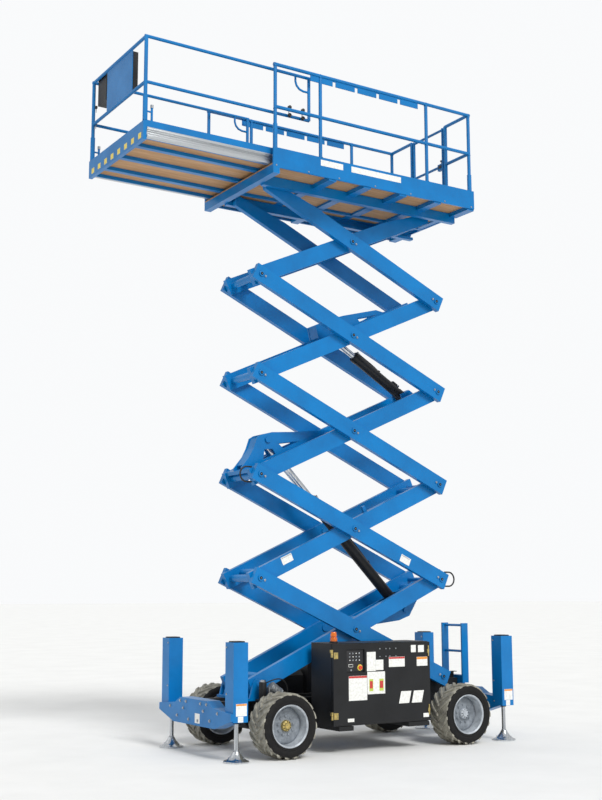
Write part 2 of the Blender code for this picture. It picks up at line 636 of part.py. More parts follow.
def cabinet(name, side, front, materials):
    """A hollow cabinet, open outwards, and the door that closes it."""
    wall = CABINET_WALL
    door_inner = CABINET_OUTER_Y - DOOR_THICKNESS
    hinge_x, hinge_y = front + 0.014, CABINET_OUTER_Y - 0.004
    shell = [sided_box(side, CABINET_REAR, front, CABINET_INNER_Y, door_inner - DOOR_GAP, CABINET_BOTTOM,
                       CABINET_TOP)]
    hollow = [sided_box(side, CABINET_REAR + wall, front - wall, CABINET_INNER_Y + wall, CABINET_OUTER_Y,
                        CABINET_BOTTOM + wall, CABINET_TOP - wall)]
    door = [sided_box(side, CABINET_REAR - hinge_x, front - 0.001 - hinge_x, -DOOR_THICKNESS + 0.004, 0.004,
                      CABINET_BOTTOM + 0.006, CABINET_TOP - 0.006)]
    for z in (CABINET_BOTTOM + 0.11, CABINET_TOP - 0.10):
        shell.append(sided_box(side, front - 0.005, hinge_x, door_inner - 0.045, door_inner - 0.006, z,
                               z + 0.04))
        shell.append(sided_box(side, hinge_x - 0.006, hinge_x + 0.006, door_inner - 0.03, hinge_y, z,
                               z + 0.04))
        shell.append(rod((hinge_x, side * hinge_y, z), (hinge_x, side * hinge_y, z + 0.04), 0.012, 12))
        door.append(rod((0, 0, z - 0.04), (0, 0, z - TOUCH), 0.012, 12))
        door.append(sided_box(side, -0.03, 0, -0.006, 0.004, z - 0.04, z - TOUCH))
    recess = PANEL_RECESS
    cut = [sided_box(side, recess[0] - hinge_x, recess[1] - hinge_x, -0.014, 0.02, recess[2],
                     recess[3])] if side > 0 else []
    solid(f"{name}_cabinet", materials["black"], shell, hollow)
    solid(f"{name}_cabinet_door", materials["black"], door, cut, (hinge_x, side * hinge_y, 0))


def engine_block(materials):
    floor = CABINET_BOTTOM + CABINET_WALL + TOUCH
    block = box(CABINET_REAR + 0.10, ENGINE_FRONT - 0.08, -0.72, -CABINET_INNER_Y - 0.035, floor,
                floor + 0.55)
    solid("engine_block", materials["black"], [block])


def fuel_tank(materials):
    """The low tank ahead of the engine cabinet, on the same carrier."""
    y, z, half = -0.60, CABINET_BOTTOM, 0.17
    x0, x1 = ENGINE_FRONT + 0.03, CABINET_FRONT
    outline = [(y - half, z), (y + half, z), (y + half, z + 0.44), (y + half - 0.06, z + 0.50),
               (y - half + 0.06, z + 0.50), (y - half, z + 0.44)]
    joined = [slab(outline, x0, x1), rod((x0 + 0.10, y, z + 0.49), (x0 + 0.10, y, z + 0.53), 0.045, 12)]
    solid("fuel_tank", materials["black"], joined)


def entry_ladder(materials):
    """Two flat uprights and three rungs behind the stack, on a foot on the left main rail."""
    x0, x1 = LEG_X_REAR + 0.17, LEG_X_REAR + 0.26
    joined = [box(x0, x1, y, y + 0.022, 0.615, 1.29) for y in (-0.05, 0.30)]
    for z in (1.265, 0.97):
        joined.append(rod((x0 + 0.045, -0.04, z), (x0 + 0.045, 0.31, z), 0.014, 8))
    joined.append(box(x0, x1, -0.05, 0.322, 0.615, 0.70))
    joined.append(box(x0, x1, RAIL_Y - 0.02, RAIL_Y + RAIL_WIDTH + 0.02, BEAM_TOP, 0.63))
    solid("entry_ladder", materials["blue"], joined)


def beacon(materials):
    x, y, z = CABINET_FRONT - 0.10, CABINET_OUTER_Y - 0.14, CABINET_TOP + TOUCH
    joined = [rod((x, y, z), (x, y, z + 0.03), 0.045, 16),
              rod((x, y, z + 0.025), (x, y, z + 0.115), 0.036, 16, 0.03)]
    solid("warning_beacon", materials["amber"], joined)


def chassis(materials):
    chassis_frame(materials)
    front_pivot_mount(materials)
    outrigger_frame("front_outrigger_frame", LEG_X_FRONT, 1, FRONT_BEAM, materials)
    outrigger_frame("rear_outrigger_frame", LEG_X_REAR, -1, REAR_BEAM, materials)
    for end, x in (("front", LEG_X_FRONT), ("rear", LEG_X_REAR)):
        for hand, side in (("left", 1), ("right", -1)):
            outrigger_leg(f"outrigger_leg_{end}_{hand}", x, side * LEG_Y, materials)
    axles(materials)
    for end, x in (("front", WHEELBASE / 2), ("rear", -WHEELBASE / 2)):
        for hand, side in (("left", 1), ("right", -1)):
            wheel(f"{end}_{hand}", x, side, materials)
    knuckle("knuckle_left", 1, materials)
    knuckle("knuckle_right", -1, materials)
    cabinet("left", 1, CABINET_FRONT, materials)
    cabinet("right", -1, ENGINE_FRONT, materials)
    fuel_tank(materials)
    engine_block(materials)
    entry_ladder(materials)
    beacon(materials)


# ---------------------------------------------------------------- platform
def deck_frame(materials):
    """Fascias and shallow cross bars, in one plane over the scissor stack's top ends."""
    top, fascia = FRAME_TOP_Z, 0.02
    joined = []
    beam_low = TOP_PIN_Z - 0.068
    for side in (1, -1):
        joined.append(sided_box(side, DECK_REAR, DECK_FRONT, DECK_HALF_WIDTH - fascia, DECK_HALF_WIDTH,
                                top - 0.03, FASCIA_TOP_Z))
        joined.append(sided_box(side, DECK_REAR + 0.01, DECK_FRONT - 0.01, 0.195, INNER_Y - SIDE_GAP,
                                top - 0.03, top))
    joined.append(box(DECK_REAR, DECK_REAR + fascia, -DECK_HALF_WIDTH, DECK_HALF_WIDTH, top - 0.03,
                      FASCIA_TOP_Z))
    joined.append(box(DECK_FRONT - 0.08, DECK_FRONT, -DECK_HALF_WIDTH, DECK_HALF_WIDTH, beam_low + 0.02,
                      top))
    outer = LONG_BEAM_Y + LONG_BEAM_WIDTH + TOUCH
    for x in (0.55, 0.08, -0.42, -0.92, DECK_REAR + 0.05):
        joined.append(box(x - 0.05, x + 0.05, -DECK_HALF_WIDTH + 0.01, DECK_HALF_WIDTH - 0.01,
                          FLANGE_TOP_Z + TOUCH, top))
        joined.append(box(x - 0.05, x + 0.05, -INNER_Y + SIDE_GAP, INNER_Y - SIDE_GAP, top - 0.025, top))
        for side in (1, -1):
            joined.append(sided_box(side, x - 0.05, x + 0.05, outer, DECK_HALF_WIDTH - 0.01, top - 0.05,
                                    top))
    solid("deck_frame", materials["blue"], joined)


def roller_beam(name, side, materials):
    """The long channel that the top frame's roller runs in, with the pin that the deck turns on."""
    low, high = TOP_PIN_Z - 0.068, FLANGE_TOP_Z
    x0, x1 = DECK_REAR + 0.02 + TOUCH, DECK_FRONT - 0.08 - TOUCH
    joined = [sided_box(side, x0, x1, LONG_BEAM_Y, LONG_BEAM_Y + LONG_BEAM_WIDTH, low, high)]
    joined.append(cross_rod(TOP_PIN_X, TOP_PIN_Z, side * (OUTER_Y - 0.006), side * (LONG_BEAM_Y + 0.01),
                            PIN_RADIUS))
    cut = [sided_box(side, TOP_REAR_X - 0.37, TOP_REAR_X + 1.16, LONG_BEAM_Y - 0.01,
                     LONG_BEAM_Y + LONG_BEAM_WIDTH - 0.01,
                     TOP_PIN_Z - TRACK_GROOVE, TOP_PIN_Z + TRACK_GROOVE)]
    solid(name, materials["blue"], joined, cut)


def deck_floor(materials):
    width = DECK_HALF_WIDTH - 0.02 - TOUCH
    solid("deck_floor", materials["plywood"],
          [box(DECK_REAR + 0.02 + TOUCH, DECK_FRONT, -width, width, FLOOR_BOTTOM_Z, FLOOR_TOP_Z)])


def deck_guardrail(name, side, materials):
    """One side's rails with its half of the fixed rear rail, welded from tube."""
    s = side * (DECK_HALF_WIDTH - 0.022)
    foot = FASCIA_TOP_Z + TOUCH
    top, middle = RAIL_TOP_Z - RAIL_TUBE, FLOOR_TOP_Z + 0.64
    front, rear, gate = DECK_FRONT - 0.034, DECK_REAR + 0.048, side * GATE_HALF_WIDTH
    tube = RAIL_TUBE
    joined = [rod((front + 0.02, s, top), (rear - 0.02, s, top), tube)]
    joined.append(rod((front, s, middle), (rear, s, middle), tube))
    joined += [rod((x, s, foot), (x, s, top), tube) for x in (front, 0.70, -0.78, rear)]
    joined.append(rod((front, s, foot), (front, s, foot + 0.27), tube + 0.006))
    joined.append(rod((rear, s, foot), (rear, s, foot + 0.20), tube + 0.006))
    joined.append(box(-0.66, 0.83, s - 0.004, s + 0.004, top - 0.085, top))
    joined += [rod((rear, s, z), (rear, gate, z), tube) for z in (middle, top)]
    joined.append(rod((rear, gate, foot), (rear, gate, top + 0.002), tube + 0.003))
    notches = (0.515, 0.215, -0.085, -0.385)
    cut = [box(x - 0.02, x + 0.02, s - 0.1, s + 0.1, top - 0.10, top - 0.030) for x in notches]
    solid(name, materials["blue"], joined, cut)


def entry_gate(materials):
    """The swing gate between the two rear posts, on hinge rings at its right-hand post."""
    x, top, middle = DECK_REAR + 0.048, RAIL_TOP_Z - RAIL_TUBE, FLOOR_TOP_Z + 0.64
    hinge_y = -GATE_HALF_WIDTH + RAIL_TUBE + 0.003 + TOUCH + 0.022
    low = FASCIA_TOP_Z + 0.03
    far = GATE_HALF_WIDTH - RAIL_TUBE - 0.003 - 0.012 - hinge_y
    tube = 0.016
    joined = [rod((0, 0, low), (0, 0, top), tube), rod((0, far - tube, low), (0, far - tube, top), tube)]
    joined += [rod((0, 0, z), (0, far - tube, z), tube) for z in (low + 0.02, middle, top - 0.02)]
    joined += [box(-0.004, 0.004, -0.0215, 0.0, z, z + 0.05) for z in (low + 0.10, top - 0.20)]
    joined.append(box(-0.018, 0.018, far - 0.10, far, middle - 0.05, middle + 0.03))
    solid("entry_gate", materials["blue"], joined, (), (x, hinge_y, 0))


def extension(materials):
    """The roll-out deck: frame, floor, side channels, rails and the control box on them."""
    front, rear, half = EXTENSION_FRONT, EXTENSION_REAR, EXTENSION_HALF_WIDTH
    low = FLOOR_TOP_Z + 0.007
    side_low, side_high = low + 0.113, low + 0.184
    floor_low = low + 0.038
    joined = [box(front - 0.04, front, -half, half, FLOOR_TOP_Z - 0.018, FLOOR_TOP_Z + 0.179)]
    for side in (1, -1):
        joined.append(sided_box(side, rear, front - 0.01, half - 0.04, half, side_low, side_high))
        joined.append(sided_box(side, rear, front - 0.01, half - 0.055, half - 0.036, low, side_high))
        joined.append(sided_box(side, rear, rear + 0.07, half - 0.09, half - 0.045, FLOOR_TOP_Z + 0.0005,
                                floor_low - TOUCH))
    for y in (-0.40, 0.0, 0.40):
        joined.append(box(rear, front - 0.01, y - 0.03, y + 0.03, low, floor_low - TOUCH))
    joined.append(box(rear, rear + 0.05, -half + 0.04, half - 0.04, low, floor_low - TOUCH))
    solid("extension_frame", materials["blue"], joined)
    width = half - 0.055 - TOUCH
    solid("extension_floor", materials["plywood"],
          [box(rear + 0.001, front - 0.04 - TOUCH, -width, width, floor_low, floor_low + 0.015)])
    for name, side in (("left", 1), ("right", -1)):
        channel = [sided_box(side, rear, front - 0.045, half - 0.036 + TOUCH, half, low, side_low - TOUCH)]
        groove = [sided_box(side, rear - 0.01, front, half - 0.018, half + 0.01, low + 0.030, low + 0.085)]
        solid(f"extension_channel_{name}", materials["aluminium"], channel, groove)
    extension_guardrails(side_high + TOUCH, materials)
    control_box(materials)


def extension_guardrails(foot, materials):
    """The front and side rails that roll out inside the main ones, with the blue front panel."""
    y = EXTENSION_HALF_WIDTH - 0.022
    front, rear = EXTENSION_FRONT - 0.028, 0.80
    top, middle = RAIL_TOP_Z - 0.045, FLOOR_TOP_Z + 0.605
    tube = 0.018
    joined = [rod((front, -y, z), (front, y, z), tube) for z in (top, middle)]
    for side in (1, -1):
        s = side * y
        joined.append(rod((front + 0.018, s, top), (rear - 0.018, s, top), tube))
        joined.append(rod((front, s, middle), (rear, s, middle), tube))
        joined.append(rod((front, s, foot), (front, s, top), tube + 0.003))
        joined.append(rod((front, s, foot), (front, s, foot + 0.26), tube + 0.009))
        joined.append(rod((rear, s, middle), (rear, s, top), tube))
        joined.append(rod((front - 0.075, s, foot), (front - 0.075, s, foot + 0.17), 0.013))
        joined.append(rod((front, s, foot + 0.10), (front - 0.075, s, foot + 0.10), 0.010))
        bend = ((0, 0), (0, -0.07), (-0.015, -0.115), (-0.05, -0.15), (-0.10, -0.165), (-0.175, -0.165))
        grip = [(rear + 0.175 + dx, s, top + dz) for dx, dz in bend]
        joined.append(bent_tube(grip, 0.012))
    joined.append(box(front - 0.004, front + 0.004, -0.30, 0.35, middle, top))
    solid("extension_guardrails", materials["blue"], joined)


def control_box(materials):
    """The control station and the document box, which hang inside the front rail."""
    x = EXTENSION_FRONT - 0.028 - 0.018 - TOUCH
    top = RAIL_TOP_Z - 0.045
    station = [box(x - 0.15, x, -0.60, -0.38, top - 0.30, top + 0.01),
               box(x - 0.19, x - 0.05, -0.57, -0.41, top - 0.12, top + 0.03)]
    solid("platform_control_box", materials["black"], station)
    back = EXTENSION_FRONT - 0.028 - 0.004 - TOUCH
    solid("document_box", materials["black"],
          [box(back - 0.065, back, 0.02, 0.335, top - 0.42, top - 0.025)])


def platform(materials):
    deck_frame(materials)
    roller_beam("roller_beam_left", 1, materials)
    roller_beam("roller_beam_right", -1, materials)
    deck_floor(materials)
    deck_guardrail("deck_guardrail_left", 1, materials)
    deck_guardrail("deck_guardrail_right", -1, materials)
    entry_gate(materials)
    extension(materials)


def main():
    clear_scene()
    middle = bpy.data.objects.new("wheelbase_centre", None)
    middle.location = (-ORIGIN_X, 0, 0)
    bpy.context.collection.objects.link(middle)
    materials = {
        "blue": make_material("blue_enamel", (0.0, 0.17, 0.55), 0.35),
        "black": make_material("black_enamel", (0.02, 0.02, 0.022), 0.5),
        "tyre": make_material("tyre_rubber", (0.35, 0.34, 0.31), 0.9),
        "rim": make_material("rim_paint", (0.45, 0.50, 0.55), 0.45),
        "chrome": make_material("chromed_steel", (0.75, 0.76, 0.78), 0.15, 1.0),
        "plywood": make_material("plywood", (0.45, 0.31, 0.20), 0.7),
        "aluminium": make_material("mill_aluminium", (0.75, 0.76, 0.78), 0.35, 1.0),
        "amber": make_material("amber_lens", (0.9, 0.25, 0.02), 0.3),
    }
    chassis(materials)
    scissor_stack(materials)
    platform(materials)


main()
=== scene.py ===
"""Scissor lift: paint, tyres, pins, hoses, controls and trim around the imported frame.

Every place and size is in metres, in the frame's own axes: +X to the front, +Y to the left, +Z up.
"""

import json
import math

import bmesh
import bpy
from mathutils import Matrix, Vector


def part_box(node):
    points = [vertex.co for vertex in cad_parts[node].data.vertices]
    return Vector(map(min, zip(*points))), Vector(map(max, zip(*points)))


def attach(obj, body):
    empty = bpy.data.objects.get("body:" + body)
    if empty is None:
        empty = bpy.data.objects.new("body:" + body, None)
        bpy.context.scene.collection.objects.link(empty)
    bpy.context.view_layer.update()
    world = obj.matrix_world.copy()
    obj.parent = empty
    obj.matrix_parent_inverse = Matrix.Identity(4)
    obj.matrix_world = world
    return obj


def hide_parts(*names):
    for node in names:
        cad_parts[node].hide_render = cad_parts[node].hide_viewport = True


bl_info = {
    "name": "Scissor Lift Finish",
    "version": (1, 0, 0),
    "blender": (4, 5, 0),
    "location": "View3D > Sidebar > Scissor Lift",
    "description": "Builds the paint, tyres, pins, hoses and trim of a rough-terrain scissor lift",
    "category": "Object",
}

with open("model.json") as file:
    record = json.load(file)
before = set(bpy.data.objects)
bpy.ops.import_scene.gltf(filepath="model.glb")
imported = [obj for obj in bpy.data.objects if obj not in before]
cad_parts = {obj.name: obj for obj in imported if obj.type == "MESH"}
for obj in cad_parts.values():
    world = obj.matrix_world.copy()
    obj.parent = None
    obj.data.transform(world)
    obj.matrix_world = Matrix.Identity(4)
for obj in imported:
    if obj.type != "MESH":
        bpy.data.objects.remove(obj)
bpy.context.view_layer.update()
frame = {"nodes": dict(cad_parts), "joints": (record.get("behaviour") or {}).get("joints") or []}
JOINTS = {joint["name"]: joint for joint in frame["joints"]}


def joint_place(name):
    return Vector(JOINTS[name]["pos_m"])


FRONT_X = joint_place("lift").x
REAR_X = joint_place("rear_pin_1").x
LOWEST_PIN = joint_place("lift").z
STAGE_RISE = joint_place("rear_pin_1").z - LOWEST_PIN
STAGES = 5
OUTER_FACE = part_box("outer_arm_1")[1].y
DOOR_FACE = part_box("left_cabinet_door")[1].y - 0.008
FILM = 0.0007


# ---------------------------------------------------------------- settings
class FinishSettings(bpy.types.PropertyGroup):
    """Colours of the paints and coatings, as sRGB hex."""
    blue: bpy.props.StringProperty(name="Blue", description="Gloss enamel on steelwork", default="0077BC")
    blue_shade: bpy.props.StringProperty(name="Blue shade", description="Thinner coats", default="006AAA")
    black: bpy.props.StringProperty(name="Black", description="Powder coat on cabinets", default="131416")
    rim: bpy.props.StringProperty(name="Rim", description="Silver-white wheel enamel", default="C3C9CF")
    tread: bpy.props.StringProperty(name="Tread", description="Dry dust on the lugs", default="A9A698")
    plywood: bpy.props.StringProperty(name="Plywood", description="Bare birch face", default="C9A179")
    amber: bpy.props.StringProperty(name="Amber", description="Beacon lens", default="FF8A18")


class WheelSettings(bpy.types.PropertyGroup):
    """Sizes of the tyres' lugs and the wheels' studs."""
    lugs: bpy.props.IntProperty(name="Lugs a side", description="Lugs on each shoulder", default=19)
    lug_width: bpy.props.FloatProperty(name="Lug width", description="Lug size round the tyre",
                                       default=0.034, unit="LENGTH")
    studs: bpy.props.IntProperty(name="Studs", description="Wheel nuts on each rim", default=9)


class TrimSettings(bpy.types.PropertyGroup):
    """Sizes of pins, bolts and hoses."""
    pin_cap: bpy.props.FloatProperty(name="Pin head", description="Radius of a pin's head",
                                     default=0.031, unit="LENGTH")
    bolt: bpy.props.FloatProperty(name="Bolt", description="Radius of an M12 head", default=0.0095,
                                  unit="LENGTH")
    hose: bpy.props.FloatProperty(name="Hose", description="Outside diameter of a hose", default=0.018,
                                  unit="LENGTH")


class StageSettings(bpy.types.PropertyGroup):
    """Camera and lights."""
    place: bpy.props.FloatVectorProperty(name="Camera", description="Where the camera stands", size=3,
                                         default=(7.2335, 11.276, 1.649), unit="LENGTH")
    yaw: bpy.props.FloatProperty(name="Yaw", description="Turn from -Y", default=math.radians(31.79),
                                 subtype="ANGLE")
    pitch: bpy.props.FloatProperty(name="Pitch", description="Tilt up", default=math.radians(8.685),
                                   subtype="ANGLE")
    lens: bpy.props.FloatProperty(name="Lens", description="Focal length on a 36 mm sensor, in mm",
                                  default=54.14)
    shift: bpy.props.FloatVectorProperty(name="Shift", description="Lens shift", size=2,
                                         default=(0.0204, 0.0101))
    floor: bpy.props.StringProperty(name="Floor", description="Pale studio floor", default="EEEEEC")


# ---------------------------------------------------------------- finishes
EVEN = (1, 1, 1)


def linear(code):
    """An sRGB hex value as linear RGBA."""
    channels = [int(code[i:i + 2], 16) / 255 for i in (0, 2, 4)]
    return [c / 12.92 if c <= 0.04045 else ((c + 0.055) / 1.055) ** 2.4 for c in channels] + [1.0]


def add_node(owner, kind, settings=None, links=None):
    """Adds a node to a material or world. links maps an input to a value or to another node's output."""
    node = owner.node_tree.nodes.new(kind)
    for key, value in (settings or {}).items():
        setattr(node, key, value)
    for key, value in (links or {}).items():
        if isinstance(value, bpy.types.NodeSocket):
            owner.node_tree.links.new(value, node.inputs[key])
        else:
            node.inputs[key].default_value = value
    return node


def start_finish(name, values):
    """A material whose shader has these values all over. Returns it with its shader."""
    material = bpy.data.materials.new(name)
    material.use_nodes = True
    shader = material.node_tree.nodes["Principled BSDF"]
    for key, value in values.items():
        shader.inputs[key].default_value = value
    return material, shader


def mottle(material, shader, patch_mm, colours, roughness, stretch=EVEN):
    """Cloudy colour and gloss with patches of this real size. Returns its place and colour nodes."""
    place = add_node(material, "ShaderNodeTexCoord")
    turned = add_node(material, "ShaderNodeMapping", {},
                      {"Vector": place.outputs["Object"], "Scale": stretch})
    clouds = add_node(material, "ShaderNodeTexNoise", {},
                      {"Vector": turned.outputs[0], "Scale": 1000 / patch_mm,
                       "Detail": 6.0, "Roughness": 0.62})
    spread = add_node(material, "ShaderNodeMapRange", {}, {"Value": clouds.outputs[0], 1: 0.36, 2: 0.66})
    blend = add_node(material, "ShaderNodeMix", {"data_type": "RGBA"},
                     {0: spread.outputs[0], 6: linear(colours[0]), 7: linear(colours[1])})
    gloss = add_node(material, "ShaderNodeMapRange", {},
                     {"Value": clouds.outputs[0], 1: 0.3, 2: 0.7, 3: roughness[0], 4: roughness[1]})
    material.node_tree.links.new(blend.outputs[2], shader.inputs["Base Color"])
    material.node_tree.links.new(gloss.outputs[0], shader.inputs["Roughness"])
    return place, blend


def grain(material, shader, place, size_mm, depth_mm, stretch=EVEN):
    """Relief of this real size and depth."""
    turned = add_node(material, "ShaderNodeMapping", {},
                      {"Vector": place.outputs["Object"], "Scale": stretch})
    bumps = add_node(material, "ShaderNodeTexNoise", {},
                     {"Vector": turned.outputs[0], "Scale": 1000 / size_mm, "Detail": 3.0})
    relief = add_node(material, "ShaderNodeBump", {},
                      {"Height": bumps.outputs[0], "Distance": depth_mm / 1000, "Strength": 0.8})
    material.node_tree.links.new(relief.outputs[0], shader.inputs["Normal"])


def dusted(material, shader, place, blend, dust, share):
    """Dry dust that has settled on faces that look up, broken up by 60 mm patches."""
    facing = add_node(material, "ShaderNodeNewGeometry")
    parts = add_node(material, "ShaderNodeSeparateXYZ", {}, {0: facing.outputs["Normal"]})
    upward = add_node(material, "ShaderNodeMapRange", {},
                      {"Value": parts.outputs[2], 1: 0.5, 2: 1.0, 4: share})
    patches = add_node(material, "ShaderNodeTexNoise", {},
                       {"Vector": place.outputs["Object"], "Scale": 1000 / 60, "Detail": 5.0})
    amount = add_node(material, "ShaderNodeMath", {"operation": "MULTIPLY"},
                      {0: upward.outputs[0], 1: patches.outputs[0]})
    mixed = add_node(material, "ShaderNodeMix", {"data_type": "RGBA"},
                     {0: amount.outputs[0], 6: blend.outputs[2], 7: linear(dust)})
    material.node_tree.links.new(mixed.outputs[2], shader.inputs["Base Color"])


def coated(name, values, patch_mm, colours, roughness, relief, stretch=EVEN, lines=EVEN, dust=None):
    """A mottled finish. relief is (size, depth) in mm, and dust is (colour, share)."""
    material, shader = start_finish(name, values)
    place, blend = mottle(material, shader, patch_mm, colours, roughness, stretch)
    grain(material, shader, place, *relief, lines)
    if dust:
        dusted(material, shader, place, blend, *dust)
    return material


def birch_plywood(settings):
    """Film-faced birch plywood: bare tan underneath, dark anti-slip film on top, plies at the edge."""
    material, shader = start_finish("film_faced_birch_plywood", {"IOR": 1.45})
    place, blend = mottle(material, shader, 160, (settings.plywood, "A98058"), (0.55, 0.75), (0.25, 3, 1))
    rings = add_node(material, "ShaderNodeTexWave", {"bands_direction": "Y"},
                     {"Vector": place.outputs["Object"], "Scale": 1000 / 180,
                      "Distortion": 5.0, "Detail": 3.0})
    figure = add_node(material, "ShaderNodeMix", {"data_type": "RGBA"},
                      {0: rings.outputs["Fac"], 6: blend.outputs[2], 7: linear("B98F64")})
    plies = add_node(material, "ShaderNodeTexWave", {"bands_direction": "Z"},
                     {"Vector": place.outputs["Object"], "Scale": 1000 / 20})
    facing = add_node(material, "ShaderNodeNewGeometry")
    parts = add_node(material, "ShaderNodeSeparateXYZ", {}, {0: facing.outputs["Normal"]})
    edge = add_node(material, "ShaderNodeMath", {"operation": "ABSOLUTE"}, {0: parts.outputs[2]})
    side = add_node(material, "ShaderNodeMapRange", {}, {"Value": edge.outputs[0], 1: 0.6, 2: 0.2, 4: 0.6})
    bands = add_node(material, "ShaderNodeMath", {"operation": "MULTIPLY"},
                     {0: side.outputs[0], 1: plies.outputs["Fac"]})
    edged = add_node(material, "ShaderNodeMix", {"data_type": "RGBA"},
                     {0: bands.outputs[0], 6: figure.outputs[2], 7: linear("6B4A2E")})
    upper = add_node(material, "ShaderNodeMapRange", {}, {"Value": parts.outputs[2], 1: 0.5, 2: 0.6})
    filmed = add_node(material, "ShaderNodeMix", {"data_type": "RGBA"},
                      {0: upper.outputs[0], 6: edged.outputs[2], 7: linear("3B2B22")})
    material.node_tree.links.new(filmed.outputs[2], shader.inputs["Base Color"])
    grain(material, shader, place, 8, 0.25, (0.3, 1, 1))
    return material


def recipes(settings):
    """What each coated finish is made of, in the order that coated() takes."""
    return {
        # Alkyd gloss enamel sprayed on steel: a wet gloss with orange peel, drawn at 9 mm so that it shows.
        "blue": ("blue_gloss_enamel_sprayed", {"IOR": 1.5, "Coat Weight": 0.10, "Specular IOR Level": 0.32},
                 420, (settings.blue, settings.blue_shade), (0.28, 0.42), (9, 0.12), EVEN, EVEN,
                 ("7FA3BC", 0.30)),
        # Polyester powder coat on sheet steel: fine even texture, satin, with a grey bloom of dust.
        "black": ("black_satin_powder_coat", {"IOR": 1.5, "Specular IOR Level": 0.35},
                  260, (settings.black, "1B1C1E"), (0.36, 0.55), (5, 0.10), EVEN, EVEN, ("6E6A62", 0.45)),
        # Cured natural rubber, moulded: deep black with a dull bloom.
        "tyre": ("black_moulded_tyre_rubber", {"IOR": 1.52, "Specular IOR Level": 0.25},
                 45, ("0F0F10", "1E1D1C"), (0.62, 0.82), (7, 0.35)),
        # The same rubber where it runs on the ground: buffed pale, with dry clay in the pores.
        "tread": ("dusty_tread_rubber", {"IOR": 1.52},
                  70, (settings.tread, "75726A"), (0.80, 0.95), (9, 0.9)),
        # Silver-white polyurethane enamel on pressed steel: semi-gloss, with brake and road dust.
        "rim": ("silver_white_wheel_enamel", {"IOR": 1.5, "Metallic": 0.15},
                90, (settings.rim, "989EA4"), (0.30, 0.52), (6, 0.08)),
        # The same enamel in the wheel's dish, drawn darker grey as painted shade for the deep recess; the
        # wheel nuts take it too.
        "rim_disc": ("dusty_grey_wheel_enamel", {"IOR": 1.5, "Metallic": 0.15},
                     55, ("8F969D", "6A7077"), (0.42, 0.65), (6, 0.12)),
        # Hard chrome on ground steel: near mirror, with faint wiping marks along the rod.
        "chrome": ("hard_chrome_plate", {"Metallic": 1.0},
                   60, ("D9DCDF", "B4B9BE"), (0.10, 0.28), (12, 0.02), (4, 4, 0.4), (4, 4, 0.3)),
        # Extruded aluminium, mill finish: soft grey metal with die lines along its length.
        "aluminium": ("mill_finish_extruded_aluminium", {"Metallic": 1.0},
                      120, ("D5D8DA", "B3B7BA"), (0.30, 0.46), (6, 0.05), (0.15, 6, 6), (0.05, 2, 2)),
        # Moulded polycarbonate lens: clear orange with moulded ribs.
        "amber": ("amber_polycarbonate", {"IOR": 1.586, "Transmission Weight": 0.30},
                  30, (settings.amber, "F26A0C"), (0.12, 0.22), (5, 0.15), EVEN, (0, 0, 1)),
        # Zinc plate with yellow passivate: gold with a drift to green-grey.
        "yellow_zinc": ("yellow_passivated_zinc", {"Metallic": 0.9},
                        22, ("D9BE72", "A69A6A"), (0.28, 0.48), (4, 0.05)),
        # Bright zinc on bolts: cool grey metal, slightly cloudy.
        "zinc": ("bright_zinc_plate", {"Metallic": 1.0}, 18, ("C4C8CC", "94989D"), (0.25, 0.45), (4, 0.04)),
        # Phosphated pin steel under a film of grease: near black, wet in patches.
        "grease": ("greased_pin_steel", {"Metallic": 0.85},
                   15, ("34373B", "17181A"), (0.16, 0.50), (5, 0.12)),
        # Wrapped nitrile hose cover: black with the cloth's fine print, drawn at 4 mm.
        "hose": ("wrapped_hose_rubber", {"IOR": 1.52}, 40, ("121213", "232324"), (0.45, 0.62), (4, 0.2)),
        # Moulded ABS with a spark-eroded texture, drawn at 4 mm.
        "plastic": ("black_textured_abs", {"IOR": 1.53}, 35, ("151517", "1F1F22"), (0.42, 0.58), (4, 0.12)),
        # Sand-cast aluminium housing: grey, dull and pitted, with oily dust.
        "cast": ("sand_cast_alloy", {"Metallic": 0.8}, 28, ("A9ADB0", "6F7274"), (0.42, 0.66), (6, 0.6)),
    }


# Flat even colour under a clear laminate, dirtied at 25 mm patches.
FILMS = {
    "white_film": ("white_vinyl_film", "F1F2EF", "DAD9D2"),
    "grey_film": ("grey_vinyl_film", "B9BCBE", "A6A9AB"),
    "red_film": ("red_vinyl_film", "CE3A36", "AE2B28"),
    "orange_film": ("orange_vinyl_film", "EF9A35", "D98424"),
    "green_film": ("green_vinyl_film", "C3D45A", "A9BC48"),
    "yellow_film": ("yellow_reflective_film", "F3DC62", "D9BF45"),
    "red_plastic": ("red_moulded_abs", "E2401C", "C23415"),
}
FINISHES = {}


def finish(short):
    """The material of that short name, made when it is first asked for."""
    settings = bpy.context.scene.lift_finish
    if short in FINISHES:
        return FINISHES[short]
    if short == "plywood":
        FINISHES[short] = birch_plywood(settings)
    elif short in FILMS:
        name, code, shade = FILMS[short]
        FINISHES[short] = coated(name, {"IOR": 1.5, "Coat Weight": 0.2},
                                 25, (code, shade), (0.35, 0.50), (10, 0.02))
    else:
        FINISHES[short] = coated(*recipes(settings)[short])
    return FINISHES[short]


# ---------------------------------------------------------------- shapes
def around(made, kind):
    """The faces or edges at the vertices that an operator made, each once."""
    return list(dict.fromkeys(item for vert in made["verts"] for item in getattr(vert, kind)))


def joined(shape, other):
    """Adds another shape to this one and frees it."""
    mesh = bpy.data.meshes.new("joined")
    other.to_mesh(mesh)
    other.free()
    shape.from_mesh(mesh)
    bpy.data.meshes.remove(mesh)


